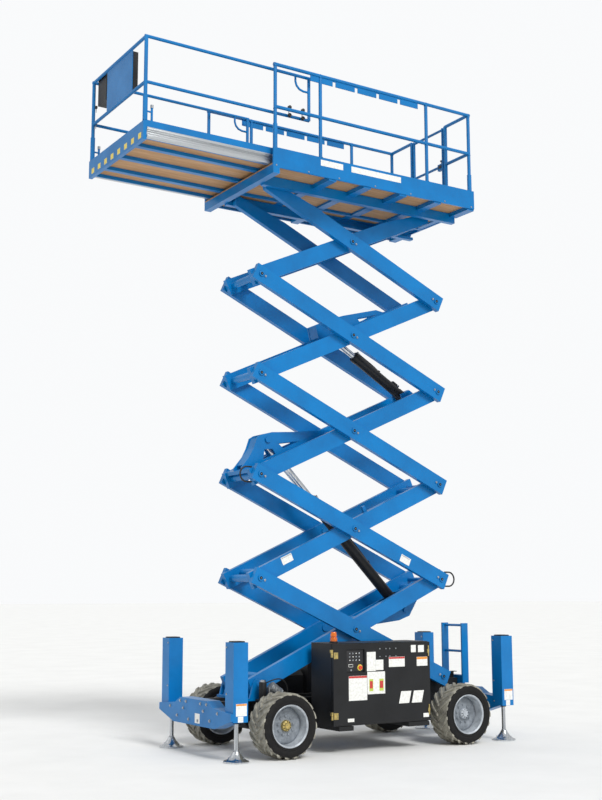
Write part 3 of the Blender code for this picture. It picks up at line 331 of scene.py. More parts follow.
def slab(shape, low, high, edge=0.002, paint=0):
    """A block between two corners with rounded edges."""
    low, high = Vector(low), Vector(high)
    size, middle = high - low, (high + low) / 2
    place = Matrix.Translation(middle) @ Matrix.Diagonal((*[abs(s) for s in size], 1))
    made = bmesh.ops.create_cube(shape, size=1.0, matrix=place)
    for face in around(made, "link_faces"):
        face.material_index = paint
    edge = min(edge, min(abs(s) for s in size) * 0.45)
    if edge > 0:
        bmesh.ops.bevel(shape, geom=around(made, "link_edges"), offset=edge, segments=2, profile=0.5,
                        affect="EDGES", material=-1)


def bar(shape, start, end, radius, sides=20, end_radius=None, paint=0, edge=0.0):
    """A round bar between two points."""
    start, end = Vector(start), Vector(end)
    along = end - start
    place = Matrix.Translation((start + end) / 2) @ along.to_track_quat("Z", "Y").to_matrix().to_4x4()
    made = bmesh.ops.create_cone(shape, cap_ends=True, segments=sides, radius1=radius,
                                 radius2=radius if end_radius is None else end_radius,
                                 depth=along.length, matrix=place)
    faces = around(made, "link_faces")
    for face in faces:
        face.material_index = paint
    if edge:
        rims = dict.fromkeys(side for face in faces if len(face.verts) > 4 for side in face.edges)
        bmesh.ops.bevel(shape, geom=list(rims), offset=edge, segments=2, profile=0.5, affect="EDGES",
                        material=-1)


def spun(shape, outline, centre, steps=64, side=1, paint=0, closed=True):
    """Turns an outline of (radius, across) round an axle along Y. A tag marks vertices in place."""
    verts = [shape.verts.new((radius, across * side, 0)) for radius, across in outline]
    ends = verts[1:] + verts[:1] if closed else verts[1:]
    edges = [shape.edges.new(pair) for pair in zip(verts, ends)]
    bmesh.ops.spin(shape, geom=verts + edges, cent=(0, 0, 0), axis=(0, 1, 0), dvec=(0, 0, 0),
                   angle=2 * math.pi, steps=steps, use_merge=True)
    untagged = [vert for vert in shape.verts if not vert.tag]
    bmesh.ops.remove_doubles(shape, verts=untagged, dist=0.00002)
    for vert in shape.verts:
        if not vert.tag:
            vert.co += Vector(centre)
            vert.tag = True
            for face in vert.link_faces:
                face.material_index = paint


def stud(shape, place, out, radius, sides=20, **more):
    """A round bar that stands out from a place."""
    bar(shape, place, Vector(place) + Vector(out), radius, sides, **more)


def bolt(shape, place, out, radius, paint=0):
    """A hexagon head on a washer that stands out along a direction."""
    place, out = Vector(place), Vector(out).normalized()
    stud(shape, place, out * radius * 0.25, radius * 1.35, paint=paint)
    bar(shape, place + out * radius * 0.2, place + out * radius * 0.95, radius, 6, paint=paint, edge=0.0008)


def piece(shape, name, body, finishes, smooth=40, replaces=()):
    """Makes the finished mesh and lets it ride on its body."""
    bmesh.ops.recalc_face_normals(shape, faces=shape.faces)
    mesh = bpy.data.meshes.new(name)
    shape.to_mesh(mesh)
    shape.free()
    mesh.shade_smooth()
    mesh.set_sharp_from_angle(angle=math.radians(smooth))
    for item in finishes:
        mesh.materials.append(finish(item))
    made = bpy.data.objects.new(name, mesh)
    bpy.context.scene.collection.objects.link(made)
    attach(made, body)
    if replaces:
        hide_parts(*replaces)


def hose(name, body, points, diameter):
    """A hose along these points, as one smooth tube that rides on its body."""
    curve = bpy.data.curves.new(name, "CURVE")
    curve.dimensions = "3D"
    curve.bevel_depth = diameter / 2
    curve.bevel_resolution = 4
    curve.use_fill_caps = True
    spline = curve.splines.new("POLY")
    smooth = softened(points)
    spline.points.add(len(smooth) - 1)
    for item, point in zip(spline.points, smooth):
        item.co = (*point, 1)
    curve.materials.append(finish("hose"))
    made = bpy.data.objects.new(name, curve)
    bpy.context.scene.collection.objects.link(made)
    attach(made, body)


def softened(points, steps=6):
    """The same route as one smooth curve through its points."""
    points = [Vector(point) for point in points]
    guide = [points[0] * 2 - points[1]] + points + [points[-1] * 2 - points[-2]]
    made = []
    for before, start, end, after in zip(guide, guide[1:], guide[2:], guide[3:]):
        for step in range(steps):
            t = step / steps
            bend = (2 * before - 5 * start + 4 * end - after) * t ** 2
            twist = (3 * start - before - 3 * end + after) * t ** 3
            made.append(0.5 * (2 * start + (end - before) * t + bend + twist))
    return made + [points[-1]]


# ---------------------------------------------------------------- wheels
CORNERS = ("front_left", "front_right", "rear_left", "rear_right")
TYRE_HALF = 0.155
TYRE_BASE = 0.305
TREAD_EDGE = 0.3015
LUG_INSET = 0.009
LUG_REACH = 0.141
LUG_SWEEP = 0.42
LUG_ROOT = 0.004
STUD_CIRCLE = 0.090
HUB_SCREW_CIRCLE = 0.042

# Outlines of (radius, across), from the inside of the wheel outwards.
CARCASS = [(0.213, -0.143), (0.213, 0.143), (0.222, 0.152), (0.234, 0.1535), (0.238, 0.150),
           (0.243, 0.1535), (0.268, 0.1545), (0.288, 0.1535), (0.2985, 0.149)]
TREAD = [(0.3045, 0.139), (0.3055, 0.09), (0.306, 0.0), (0.3055, -0.09), (0.3045, -0.139)]
RIM_BARREL = [(0.2115, -0.148), (0.2115, -0.139), (0.199, -0.133), (0.197, -0.060), (0.188, -0.025),
              (0.188, 0.025), (0.197, 0.060), (0.199, 0.133), (0.2115, 0.139), (0.2115, 0.1465),
              (0.208, 0.1485), (0.204, 0.1455), (0.195, 0.137), (0.1915, 0.066), (0.182, 0.030),
              (0.182, -0.025), (0.1915, -0.060), (0.195, -0.137), (0.207, -0.148)]
RIM_DISC = [(0.0, 0.033), (0.100, 0.033), (0.150, 0.030), (0.184, 0.024), (0.184, 0.036), (0.170, 0.050),
            (0.152, 0.054), (0.128, 0.046), (0.098, 0.044), (0.082, 0.050), (0.0, 0.050)]
HUB = [(0.0, 0.048), (0.056, 0.048), (0.056, 0.066), (0.050, 0.078), (0.034, 0.084), (0.028, 0.094),
       (0.0, 0.096)]


def tyre_lug(shape, settings, start, side, radius):
    """One slanted lug: it runs from the shoulder to the middle and stands on the carcass."""
    made = bmesh.ops.create_cube(shape, size=1.0)
    lengthways = [edge for edge in around(made, "link_edges")
                  if abs(edge.verts[0].co.x - edge.verts[1].co.x) > 0.5]
    bmesh.ops.subdivide_edges(shape, edges=lengthways, cuts=6, use_grid_fill=True)
    for vert in shape.verts:
        if vert.tag:
            continue
        along, sideways, up = vert.co.x + 0.5, vert.co.y, vert.co.z + 0.5
        across = side * (TYRE_HALF - LUG_INSET - LUG_REACH * along)
        taper = (1.0 - 0.22 * up) * (1.15 - 0.3 * along)
        turn = start + LUG_SWEEP * along ** 0.85 + sideways * settings.lug_width * taper / radius
        shoulder = 0.010 * max(0.0, 1 - along / 0.20) ** 2
        root = TYRE_BASE - LUG_ROOT
        height = root + up * (radius - root) - shoulder
        vert.co = (height * math.sin(turn), across, height * math.cos(turn))
        vert.tag = True
        for face in vert.link_faces:
            face.material_index = 1


class LIFT_OT_tyres(bpy.types.Operator):
    """Four rough-terrain tyres with chevron lugs"""
    bl_idname = "lift.tyres"
    bl_label = "Tyres"

    def execute(self, context):
        settings = context.scene.lift_wheels
        step = 2 * math.pi / settings.lugs
        inner_wall = [(r, -y) for r, y in reversed(CARCASS[2:])]
        for corner in CORNERS:
            low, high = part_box(f"tyre_{corner}")
            centre, radius = (low + high) / 2, (high.z - low.z) / 2 - 0.0005
            shape = bmesh.new()
            side = 1 if centre.y > 0 else -1
            for index in range(settings.lugs):
                tyre_lug(shape, settings, index * step, 1, radius)
                tyre_lug(shape, settings, (index + 0.5) * step, -1, radius)
            bmesh.ops.translate(shape, vec=centre, verts=shape.verts)
            spun(shape, CARCASS + TREAD + inner_wall, centre, 96, side)
            for face in shape.faces:
                middle = face.calc_center_median() - centre
                if math.hypot(middle.x, middle.z) > TREAD_EDGE:
                    face.material_index = 1
            piece(shape, f"lugged_tyre_{corner}", f"wheel_{corner}", ("tyre", "tread"), 35,
                  (f"tyre_{corner}",))
        return {"FINISHED"}


class LIFT_OT_rims(bpy.types.Operator):
    """Four pressed rims with their hubs and wheel nuts"""
    bl_idname = "lift.rims"
    bl_label = "Rims"

    def execute(self, context):
        settings = context.scene.lift_wheels
        for corner in CORNERS:
            low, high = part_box(f"rim_{corner}")
            tyre_low, tyre_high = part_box(f"tyre_{corner}")
            centre = Vector(((low.x + high.x) / 2, (tyre_low.y + tyre_high.y) / 2, (low.z + high.z) / 2))
            side = 1 if centre.y > 0 else -1
            shape = bmesh.new()
            spun(shape, RIM_BARREL, centre, 72, side)
            # The dish takes finish 3, a darker grey that is painted shade for the recess.
            spun(shape, RIM_DISC, centre, 72, side, paint=3, closed=False)
            spun(shape, HUB, centre, 48, side, paint=1, closed=False)
            for index in range(settings.studs):
                turn = 2 * math.pi * index / settings.studs
                out = Vector((math.sin(turn), 0, math.cos(turn)))
                nut = centre + out * STUD_CIRCLE + Vector((0, side * 0.047, 0))
                # The wheel nuts take the same painted-shade grey as the dish.
                bolt(shape, nut, (0, side, 0), 0.0115, 3)
                screw = centre + out * HUB_SCREW_CIRCLE + Vector((0, side * 0.079, 0))
                stud(shape, screw, (0, side * 0.006, 0), 0.0055, 6, paint=2)
            valve = centre + Vector((0.150, side * 0.056, 0.030))
            stud(shape, valve, (0.012, side * 0.030, 0.003), 0.004, 10, paint=2)
            plated = "yellow_zinc" if "front" in corner else "rim"
            piece(shape, f"pressed_rim_{corner}", f"wheel_{corner}", ("rim", plated, "grease", "rim_disc"),
                  35, (f"rim_{corner}",))
        return {"FINISHED"}


# ---------------------------------------------------------------- scissor stack
class LIFT_OT_pins(bpy.types.Operator):
    """Pin heads, keeper plates and bolts on the scissor stack, with blank labels on two beams"""
    bl_idname = "lift.pins"
    bl_label = "Pins"

    def execute(self, context):
        trim = context.scene.lift_trim
        middle = (FRONT_X + REAR_X) / 2
        slope = math.atan2(STAGE_RISE, FRONT_X - REAR_X)
        inward = Vector((math.cos(slope), 0, math.sin(slope)))
        for stage in range(1, STAGES + 1):
            low = LOWEST_PIN + (stage - 1) * STAGE_RISE
            places = [(REAR_X, low), (middle, low + STAGE_RISE / 2)]
            if stage < STAGES:
                places.append((FRONT_X, low + STAGE_RISE))
            shape = bmesh.new()
            for x, z in places:
                keeper = inward if x < middle - 0.1 else -inward
                for side in (1, -1):
                    base = Vector((x, side * (OUTER_FACE - 0.001), z))
                    out = Vector((0, side, 0))
                    stud(shape, base, out * 0.005, trim.pin_cap, 28, paint=2, edge=0.0015)
                    stud(shape, base + out * 0.004, out * 0.003, trim.pin_cap * 0.55, 28, edge=0.001)
                    stud(shape, base + out * 0.006, out * 0.003, 0.005, 12, paint=1)
                    plate = base + keeper * 0.055 - out * 0.007
                    stud(shape, plate, out * 0.004, 0.019, paint=2)
                    bolt(shape, plate + out * 0.004, out, trim.bolt, 1)
            piece(shape, f"pin_heads_{stage}", f"outer_arm_{stage}", ("grease", "zinc", "blue"))
        self.labels(slope)
        return {"FINISHED"}

    def labels(self, slope):
        """Blank white labels on the second stage's beams, square to each beam."""
        half = 0.055
        for name, body, x, z, y, turn in (("inner", "inner_arm_2", 0.40, 1.995, 0.2992, slope),
                                           ("outer", "outer_arm_2", -1.13, 2.004, 0.3653, -slope)):
            shape = bmesh.new()
            slab(shape, (-half * 1.3, 0, -half * 0.75), (half * 1.3, 0.0006, half * 0.75), 0.0)
            slab(shape, (-half * 1.2, 0.0002, half * 0.45), (half * 1.2, 0.0010, half * 0.65), 0.0, 1)
            move = Matrix.Translation((x, y, z)) @ Matrix.Rotation(turn, 4, "Y")
            bmesh.ops.transform(shape, matrix=move, verts=shape.verts)
            piece(shape, f"beam_label_{name}", body, ("white_film", "grey_film"))


HOSE_END = 0.280


class LIFT_OT_cylinders(bpy.types.Operator):
    """Glands, wipers, ports and hoses on the two lift cylinders"""
    bl_idname = "lift.cylinders"
    bl_label = "Lift cylinders"

    def execute(self, context):
        for name, radius in (("lower", 0.055), ("upper", 0.050)):
            base = joint_place(f"{name}_cylinder_pin")
            along = Vector(JOINTS[f"{name}_cylinder_stroke"]["axis"]).normalized()
            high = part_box(f"{name}_cylinder_barrel")[1]
            length = (high.x - base.x - radius * along.z) / along.x
            up = along.cross(Vector((0, -1, 0)))
            if up.z < 0:
                up = -up
            self.fit(name, radius, base, along, up, length)
        return {"FINISHED"}

    def fit(self, name, radius, base, along, up, length):
        """Everything on one barrel that starts at base and runs along its axis for this length."""
        shape = bmesh.new()
        end = base + along * length
        bar(shape, end - along * 0.060, end + along * 0.003, radius + 0.006, 40, edge=0.003)
        bar(shape, end + along * 0.003, end + along * 0.010, radius * 0.72, 32, paint=1)
        bar(shape, base + along * 0.075, base + along * 0.095, radius + 0.005, 40, edge=0.003)
        joined(shape, self.valve_block(base + along * 0.15 + up * (radius - 0.004), along))
        elbow = end - along * 0.030 + up * (radius + 0.022)
        bar(shape, elbow - up * 0.026, elbow + up * 0.010, 0.014, 6, paint=1, edge=0.001)
        stud(shape, elbow, -along * 0.034, 0.011, 6, paint=1)
        start, stop = elbow - along * 0.030, base + along * HOSE_END + up * (radius - 0.004)
        route = []
        for step in range(17):
            share = step / 16
            route.append(start.lerp(stop, share) + up * 0.012 * math.sin(math.pi * share) ** 2)
        for share in (0.3, 0.7):
            clamp = base + along * (HOSE_END + (length - HOSE_END - 0.060) * share)
            bar(shape, clamp - along * 0.009, clamp + along * 0.009, radius + 0.002, 40, paint=1)
            saddle = clamp + up * (radius + 0.014)
            bar(shape, saddle - along * 0.010, saddle + along * 0.010, 0.0135, 20, paint=2)
        piece(shape, f"{name}_cylinder_fittings", f"{name}_barrel", ("black", "zinc", "grease"))
        hose(f"{name}_cylinder_hose", f"{name}_barrel", route, 0.012)

    def valve_block(self, port, along):
        """The block on the barrel's foot, with its cartridge and two screws."""
        block = bmesh.new()
        slab(block, (-0.045, -0.032, -0.030), (0.060, 0.032, 0.030), 0.004, 2)
        stud(block, (0.055, 0, 0), (0.055, 0, 0), 0.017, paint=2)
        stud(block, (0.110, 0, 0), (0.025, 0, 0), 0.013, 6, paint=1)
        bolt(block, (-0.02, 0.032, 0.012), (0, 1, 0), 0.006, 1)
        bolt(block, (0.035, 0.032, -0.012), (0, 1, 0), 0.006, 1)
        place = Matrix.Translation(port) @ along.to_track_quat("X", "Z").to_matrix().to_4x4()
        bmesh.ops.transform(block, matrix=place, verts=block.verts)
        return block


class LIFT_OT_hoses(bpy.types.Operator):
    """Hose loops at the ends of the beams"""
    bl_idname = "lift.hoses"
    bl_label = "Hose loops"

    def execute(self, context):
        trim = context.scene.lift_trim
        first, second = LOWEST_PIN + STAGE_RISE, LOWEST_PIN + 2 * STAGE_RISE
        loops = (("front_high", "inner_arm_3", FRONT_X + 0.06, second, 1, 0.27, 0.080),
                 ("front_high_inner", "inner_arm_3", FRONT_X - 0.10, second, 1, 0.228, 0.078),
                 ("rear_low", "outer_arm_2", REAR_X - 0.06, first, -1, 0.345, 0.080))
        for name, body, x, z, forward, y, size in loops:
            route = [(x, y, z - size), (x + forward * 0.035, y, z - size)]
            for step in range(10):
                turn = math.radians(-80 + 160 * step / 9)
                route.append((x + forward * (0.06 + size * math.cos(turn)), y, z + size * math.sin(turn)))
            route += [(x + forward * 0.035, y, z + size), (x, y, z + size)]
            hose(f"hose_loop_{name}", body, route, trim.hose)
        return {"FINISHED"}


# ---------------------------------------------------------------- chassis
# Outline of (radius, height) from the foot's dish up to the chromed rod.
LEG_OUTLINE = [(0.108, 0.021), (0.085, 0.036), (0.060, 0.062), (0.044, 0.083), (0.038, 0.096),
               (0.034, 0.104), (0.0235, 0.105), (0.0225, 0.108), (0.0225, 0.150), (0.0222, 0.151)]


class LIFT_OT_legs(bpy.types.Operator):
    """Four chromed outrigger rods with swivel feet"""
    bl_idname = "lift.legs"
    bl_label = "Outrigger legs"

    def execute(self, context):
        for corner in CORNERS:
            low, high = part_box(f"outrigger_leg_{corner}")
            reach, top = (high.x - low.x) / 2, high.z - low.z
            sole = [(0.0, 0.0), (reach - 0.004, 0.0), (reach - 0.001, 0.004), (reach - 0.001, 0.013),
                    (reach - 0.006, 0.018)]
            shape = bmesh.new()
            spun(shape, sole + LEG_OUTLINE + [(0.0222, top), (0.0, top)], (0, 0, 0), 56, closed=False)
            foot = Vector(((low.x + high.x) / 2, (low.y + high.y) / 2, low.z))
            upright = Matrix.Translation(foot) @ Matrix.Rotation(math.pi / 2, 4, "X")
            bmesh.ops.transform(shape, matrix=upright, verts=shape.verts)
            for index in range(4):
                angle = math.pi * (0.25 + index / 2)
                place = foot + Vector((0.080 * math.cos(angle), 0.080 * math.sin(angle), 0.038))
                stud(shape, place, (0, 0, 0.008), 0.006, 6, paint=1)
            stud(shape, foot + Vector((0, 0, 0.104)), (0, 0, 0.014), 0.028, 32, paint=1, edge=0.002)
            piece(shape, f"chromed_leg_{corner}", f"leg_{corner}", ("chrome", "zinc"), 35,
                  (f"outrigger_leg_{corner}",))
        return {"FINISHED"}


LEG_BOX_HALF = 0.0825
BEAM_BOLTS = ((0.16, 0.525), (0.29, 0.525), (0.22, 0.455), (0.36, 0.37), (0.52, 0.455), (0.10, 0.35))


class LIFT_OT_drive(bpy.types.Operator):
    """Drive motor, brake valve and pipes behind the front wheels, and bolts on the outriggers"""
    bl_idname = "lift.drive"
    bl_label = "Drive and outriggers"

    def execute(self, context):
        self.motor()
        route = [(0.700, 0.337, 0.715), (0.698, 0.362, 0.719), (0.684, 0.388, 0.730), (0.655, 0.408, 0.745),
                 (0.610, 0.417, 0.757), (0.560, 0.411, 0.757), (0.512, 0.395, 0.744), (0.468, 0.371, 0.718),
                 (0.432, 0.343, 0.681), (0.403, 0.311, 0.637), (0.383, 0.275, 0.586), (0.375, 0.235, 0.535)]
        hose("drive_hose", "chassis", route, 0.013)
        for end, outward in (("front", 1), ("rear", -1)):
            self.outrigger(end, outward)
        shape = bmesh.new()
        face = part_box("front_outrigger_frame")[1].x
        slab(shape, (face, 0.04, 0.325), (face + 0.0008, 0.145, 0.422), 0.0)
        piece(shape, "beam_plate_blank", "chassis", ("white_film",))
        return {"FINISHED"}

    def motor(self):
        """A ribbed motor that leans forward over its brake valve and filter."""
        shape = bmesh.new()
        y = 0.43
        back, front = Vector((0.585, y, 0.615)), Vector((0.690, y, 0.690))
        ahead = (front - back).normalized()
        bar(shape, back, front, 0.052, 28, edge=0.006)
        bar(shape, (0.572, y, 0.606), (0.590, y, 0.619), 0.060, 8, edge=0.004)
        for rib in range(5):
            place = back.lerp(front, 0.15 + rib * 0.18)
            stud(shape, place, ahead * 0.008, 0.058, 28)
        slab(shape, (0.655, y - 0.05, 0.60), (0.72, y + 0.03, 0.68), 0.006)
        slab(shape, (0.60, 0.335, 0.545), (0.72, y + 0.02, 0.600), 0.006, 1)
        stud(shape, (0.775, y, 0.545), (0, 0, 0.190), 0.040, 28, paint=1, edge=0.006)
        stud(shape, (0.775, y, 0.735), (0, 0, 0.020), 0.030, 6, paint=2)
        slab(shape, (0.74, 0.335, 0.535), (0.81, y + 0.035, 0.56), 0.004, 1)
        for x in (0.60, 0.64, 0.68):
            stud(shape, (x, 0.35, 0.60), (0, 0, 0.025), 0.009, 6, paint=2)
        piece(shape, "drive_motor", "chassis", ("cast", "black", "zinc"))

    def outrigger(self, end, outward):
        """Bolts, caps and blank labels on one outrigger beam and its two leg boxes."""
        shape = bmesh.new()
        low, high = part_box(f"{end}_outrigger_frame")
        leg_low, leg_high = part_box(f"outrigger_leg_{end}_left")
        x, leg_y = (leg_low.x + leg_high.x) / 2, (leg_low.y + leg_high.y) / 2
        if outward > 0:
            for y, z in BEAM_BOLTS:
                for side in (1, -1):
                    bolt(shape, (high.x, side * y, z), (outward, 0, 0), 0.012)
        for side in (1, -1):
            y, top = side * leg_y, high.z
            slab(shape, (x - 0.060, y - 0.060, top - 0.002), (x + 0.060, y + 0.060, top + 0.012), 0.004, 1)
            stud(shape, (x, y, low.z + 0.068), (0, 0, 0.022), 0.032, 28, paint=1)
            for z in (top - 0.05, top - 0.50, low.z + 0.13):
                for way in (1, -1):
                    bolt(shape, (x + way * LEG_BOX_HALF, y - side * 0.055, z), (way, 0, 0), 0.0075)
            out = y + side * LEG_BOX_HALF
            slab(shape, (x - 0.070, out, 0.447), (x + 0.052, out + side * FILM, 0.565), 0.0, 2)
            slab(shape, (x - 0.068, out, 0.546), (x + 0.050, out + side * 0.0011, 0.563), 0.0, 3)
            slab(shape, (x - 0.030, out, 0.388), (x + 0.030, out + side * FILM, 0.444), 0.0, 2)
        piece(shape, f"{end}_outrigger_trim", "chassis", ("zinc", "plastic", "white_film", "orange_film"))


KNUCKLE = 0.0124
DOOR_PLATES = ((-0.386, 0.828, -0.272, 1.025), (-0.485, 0.835, -0.388, 0.942),
               (-0.272, 0.535, -0.040, 0.785), (-0.505, 0.592, -0.276, 0.820),
               (-0.768, 0.862, -0.558, 0.966), (-0.920, 1.008, -0.854, 1.084),
               (-1.030, 1.007, -0.950, 1.081), (-1.075, 0.862, -0.930, 0.957),
               (-0.105, 0.322, -0.025, 0.356), (-1.085, 0.322, -1.010, 0.364))
RED, ORANGE, GREEN = 2, 3, 4
DOOR_BANDS = ((-0.270, 0.762, -0.042, 0.783, RED), (-0.766, 0.946, -0.560, 0.964, RED),
              (-1.073, 0.932, -0.932, 0.955, ORANGE), (-0.350, 0.622, -0.300, 0.745, GREEN),
              (-0.485, 0.622, -0.430, 0.745, GREEN), (-0.344, 0.650, -0.306, 0.725, RED),
              (-0.479, 0.650, -0.436, 0.725, RED))


class LIFT_OT_cabinet(bpy.types.Operator):
    """Ground controls, latches, hinges, labels, skids and louvres on the cabinets"""
    bl_idname = "lift.cabinet"
    bl_label = "Cabinets"

    def execute(self, context):
        self.left_door()
        self.hardware()
        self.beacon()
        return {"FINISHED"}

    def left_door(self):
        """Blank plates, colour bands, two slanted stripes and the control panel."""
        face = DOOR_FACE
        shape = bmesh.new()
        for x0, z0, x1, z1 in DOOR_PLATES:
            slab(shape, (x0, face, z0), (x1, face + FILM, z1), 0.0, 1)
        for x0, z0, x1, z1, paint in DOOR_BANDS:
            slab(shape, (x0, face, z0), (x1, face + FILM * (3 if paint == RED else 2), z1), 0.0, paint)
        for x in (-0.44, -0.52, -0.57, -0.65):
            for z in (1.055, 0.975):
                stud(shape, (x, face - 0.001, z), (0, 0.005, 0), 0.0065, 12, paint=5)
        stripes = bmesh.new()
        for x0, x1 in ((-0.835, -0.700), (-1.005, -0.870)):
            slab(stripes, (x0, face, 0.480), (x1, face + FILM, 0.605), 0.0, 1)
        for vert in stripes.verts:
            vert.co.x -= (vert.co.z - 0.54) * 0.25
        joined(shape, stripes)
        self.panel(shape, face - 0.0135)
        piece(shape, "ground_controls", "left_door",
              ("plastic", "white_film", "red_film", "orange_film", "green_film", "zinc", "red_plastic",
               "yellow_film"))

    def panel(self, shape, back):
        """The ground control panel that sits in the door's recess."""
        slab(shape, (-0.238, back, 0.826), (-0.020, back + 0.003, 1.049), 0.001)
        for column, x in enumerate((-0.060, -0.100, -0.140, -0.180)):
            for row, z in enumerate((1.015, 0.980, 0.945)):
                if (column + row) % 3 == 2:
                    stud(shape, (x, back, z), (0, 0.007, 0), 0.010, 16, edge=0.001)
                    stud(shape, (x, back + 0.006, z), (0, 0.003, 0), 0.006, 12, paint=1)
                else:
                    stud(shape, (x, back, z), (0, 0.005, 0), 0.008, 12, paint=5)
                    stud(shape, (x, back, z), (0.002, 0.011, 0.004), 0.003, 8, paint=5)
        slab(shape, (-0.100, back, 0.875), (-0.045, back + 0.006, 0.905), 0.001, 1)
        slab(shape, (-0.096, back, 0.879), (-0.049, back + 0.0075, 0.901), 0.001)
        stop = Vector((-0.190, back, 0.868))
        stud(shape, stop, (0, 0.004, 0), 0.032, 28, paint=7)
        stud(shape, stop, (0, 0.0115, 0), 0.012, 16)
        stud(shape, stop + Vector((0, 0.009, 0)), (0, 0.0115, 0), 0.021, 28, paint=6, edge=0.003)
        stud(shape, (-0.075, back, 0.845), (0, 0.008, 0), 0.010, 16, paint=5)

    def hardware(self):
        """Latches, hinges, handles and a drip rail on each door, skids and louvres on each cabinet."""
        for side, name in ((1, "left"), (-1, "right")):
            low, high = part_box(f"{name}_cabinet_door")
            shell_low, shell_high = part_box(f"{name}_cabinet")
            hinge = joint_place(f"{name}_door")
            front, face = high.x, side * DOOR_FACE
            door, fixed = bmesh.new(), bmesh.new()
            for z in (0.375, 0.985):
                slab(door, (front - 0.085, face, z - 0.02),
                     (front - 0.032, face + side * 0.0025, z + 0.045), 0.001)
                for dz in (-0.008, 0.030):
                    bolt(door, (front - 0.060, face + side * 0.002, z + dz), (0, side, 0), 0.0055)
            for z in (shell_low.z + 0.11, shell_high.z - 0.10):
                stud(door, (hinge.x, hinge.y, z - 0.038), (0, 0, 0.036), KNUCKLE, 24)
                stud(fixed, (hinge.x, hinge.y, z + 0.001), (0, 0, 0.037), KNUCKLE, 24, paint=3)
                slab(fixed, (hinge.x - 0.006, hinge.y - side * 0.030, z + 0.003),
                     (hinge.x + 0.0066, hinge.y - side * 0.004, z + 0.036), 0.001, 3)
            x = low.x
            for z in (0.40, 1.02):
                slab(door, (x + 0.012, face, z - 0.055), (x + 0.026, face + side * 0.006, z + 0.055), 0.002)
                slab(door, (x + 0.008, face, z - 0.022), (x + 0.034, face + side * 0.004, z + 0.018), 0.001)
            slab(door, (x + 0.02, face, low.z + 0.010),
                 (front - 0.04, face + side * 0.0014, low.z + 0.022), 0.0006, 1)
            piece(door, f"{name}_door_hardware", f"{name}_door", ("yellow_zinc", "black"))
            skid_y, back = side * 0.76, shell_low.x
            for x in (shell_high.x - 0.20, back + 0.18):
                slab(fixed, (x - 0.07, skid_y - side * 0.10, shell_low.z - 0.045),
                     (x + 0.07, skid_y, shell_low.z - 0.001), 0.004)
            for z in (0.70, 0.755, 0.81, 0.865, 0.92, 0.975):
                slab(fixed, (back - 0.018, side * 0.50, z),
                     (back - 0.0005, side * 0.72, z + 0.026), 0.005, 1)
            slab(fixed, (back - 0.004, side * 0.46, 0.66), (back - 0.0003, side * 0.755, 1.06), 0.002)
            stud(fixed, (back - 0.001, side * 0.70, 1.045), (-0.017, 0, 0), 0.02, paint=2)
            piece(fixed, f"{name}_cabinet_trim", "chassis", ("black", "blue", "chrome", "yellow_zinc"))

    def beacon(self):
        """Two-tier amber beacon on a black foot."""
        low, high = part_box("warning_beacon")
        x, y = (low.x + high.x) / 2, (low.y + high.y) / 2
        foot, height = low.z, high.z - low.z
        shape = bmesh.new()
        for start, end, radius, top_radius, paint, edge in (
                (foot, foot + 0.018, 0.044, 0.044, 1, 0.003),
                (foot + 0.016, foot + height * 0.50, 0.036, 0.034, 0, 0.004),
                (foot + height * 0.50, foot + height * 0.58, 0.026, 0.026, 0, 0.0),
                (foot + height * 0.56, high.z - 0.0005, 0.035, 0.027, 0, 0.008)):
            bar(shape, (x, y, start), (x, y, end), radius, 40, top_radius, paint, edge)
        for index in range(12):
            turn = 2 * math.pi * index / 12
            place = (x + 0.0345 * math.cos(turn), y + 0.0345 * math.sin(turn), foot + 0.022)
            stud(shape, place, (0, 0, height * 0.30), 0.0022, 8)
        piece(shape, "amber_beacon", "chassis", ("amber", "plastic"), 35, ("warning_beacon",))


# ---------------------------------------------------------------- platform
MID_RAIL = 6.8156
POST_FOOT = 6.3515
BARS_LOW, BARS_HIGH = 6.255, 6.322
FASCIA_BOLTS = 6.152


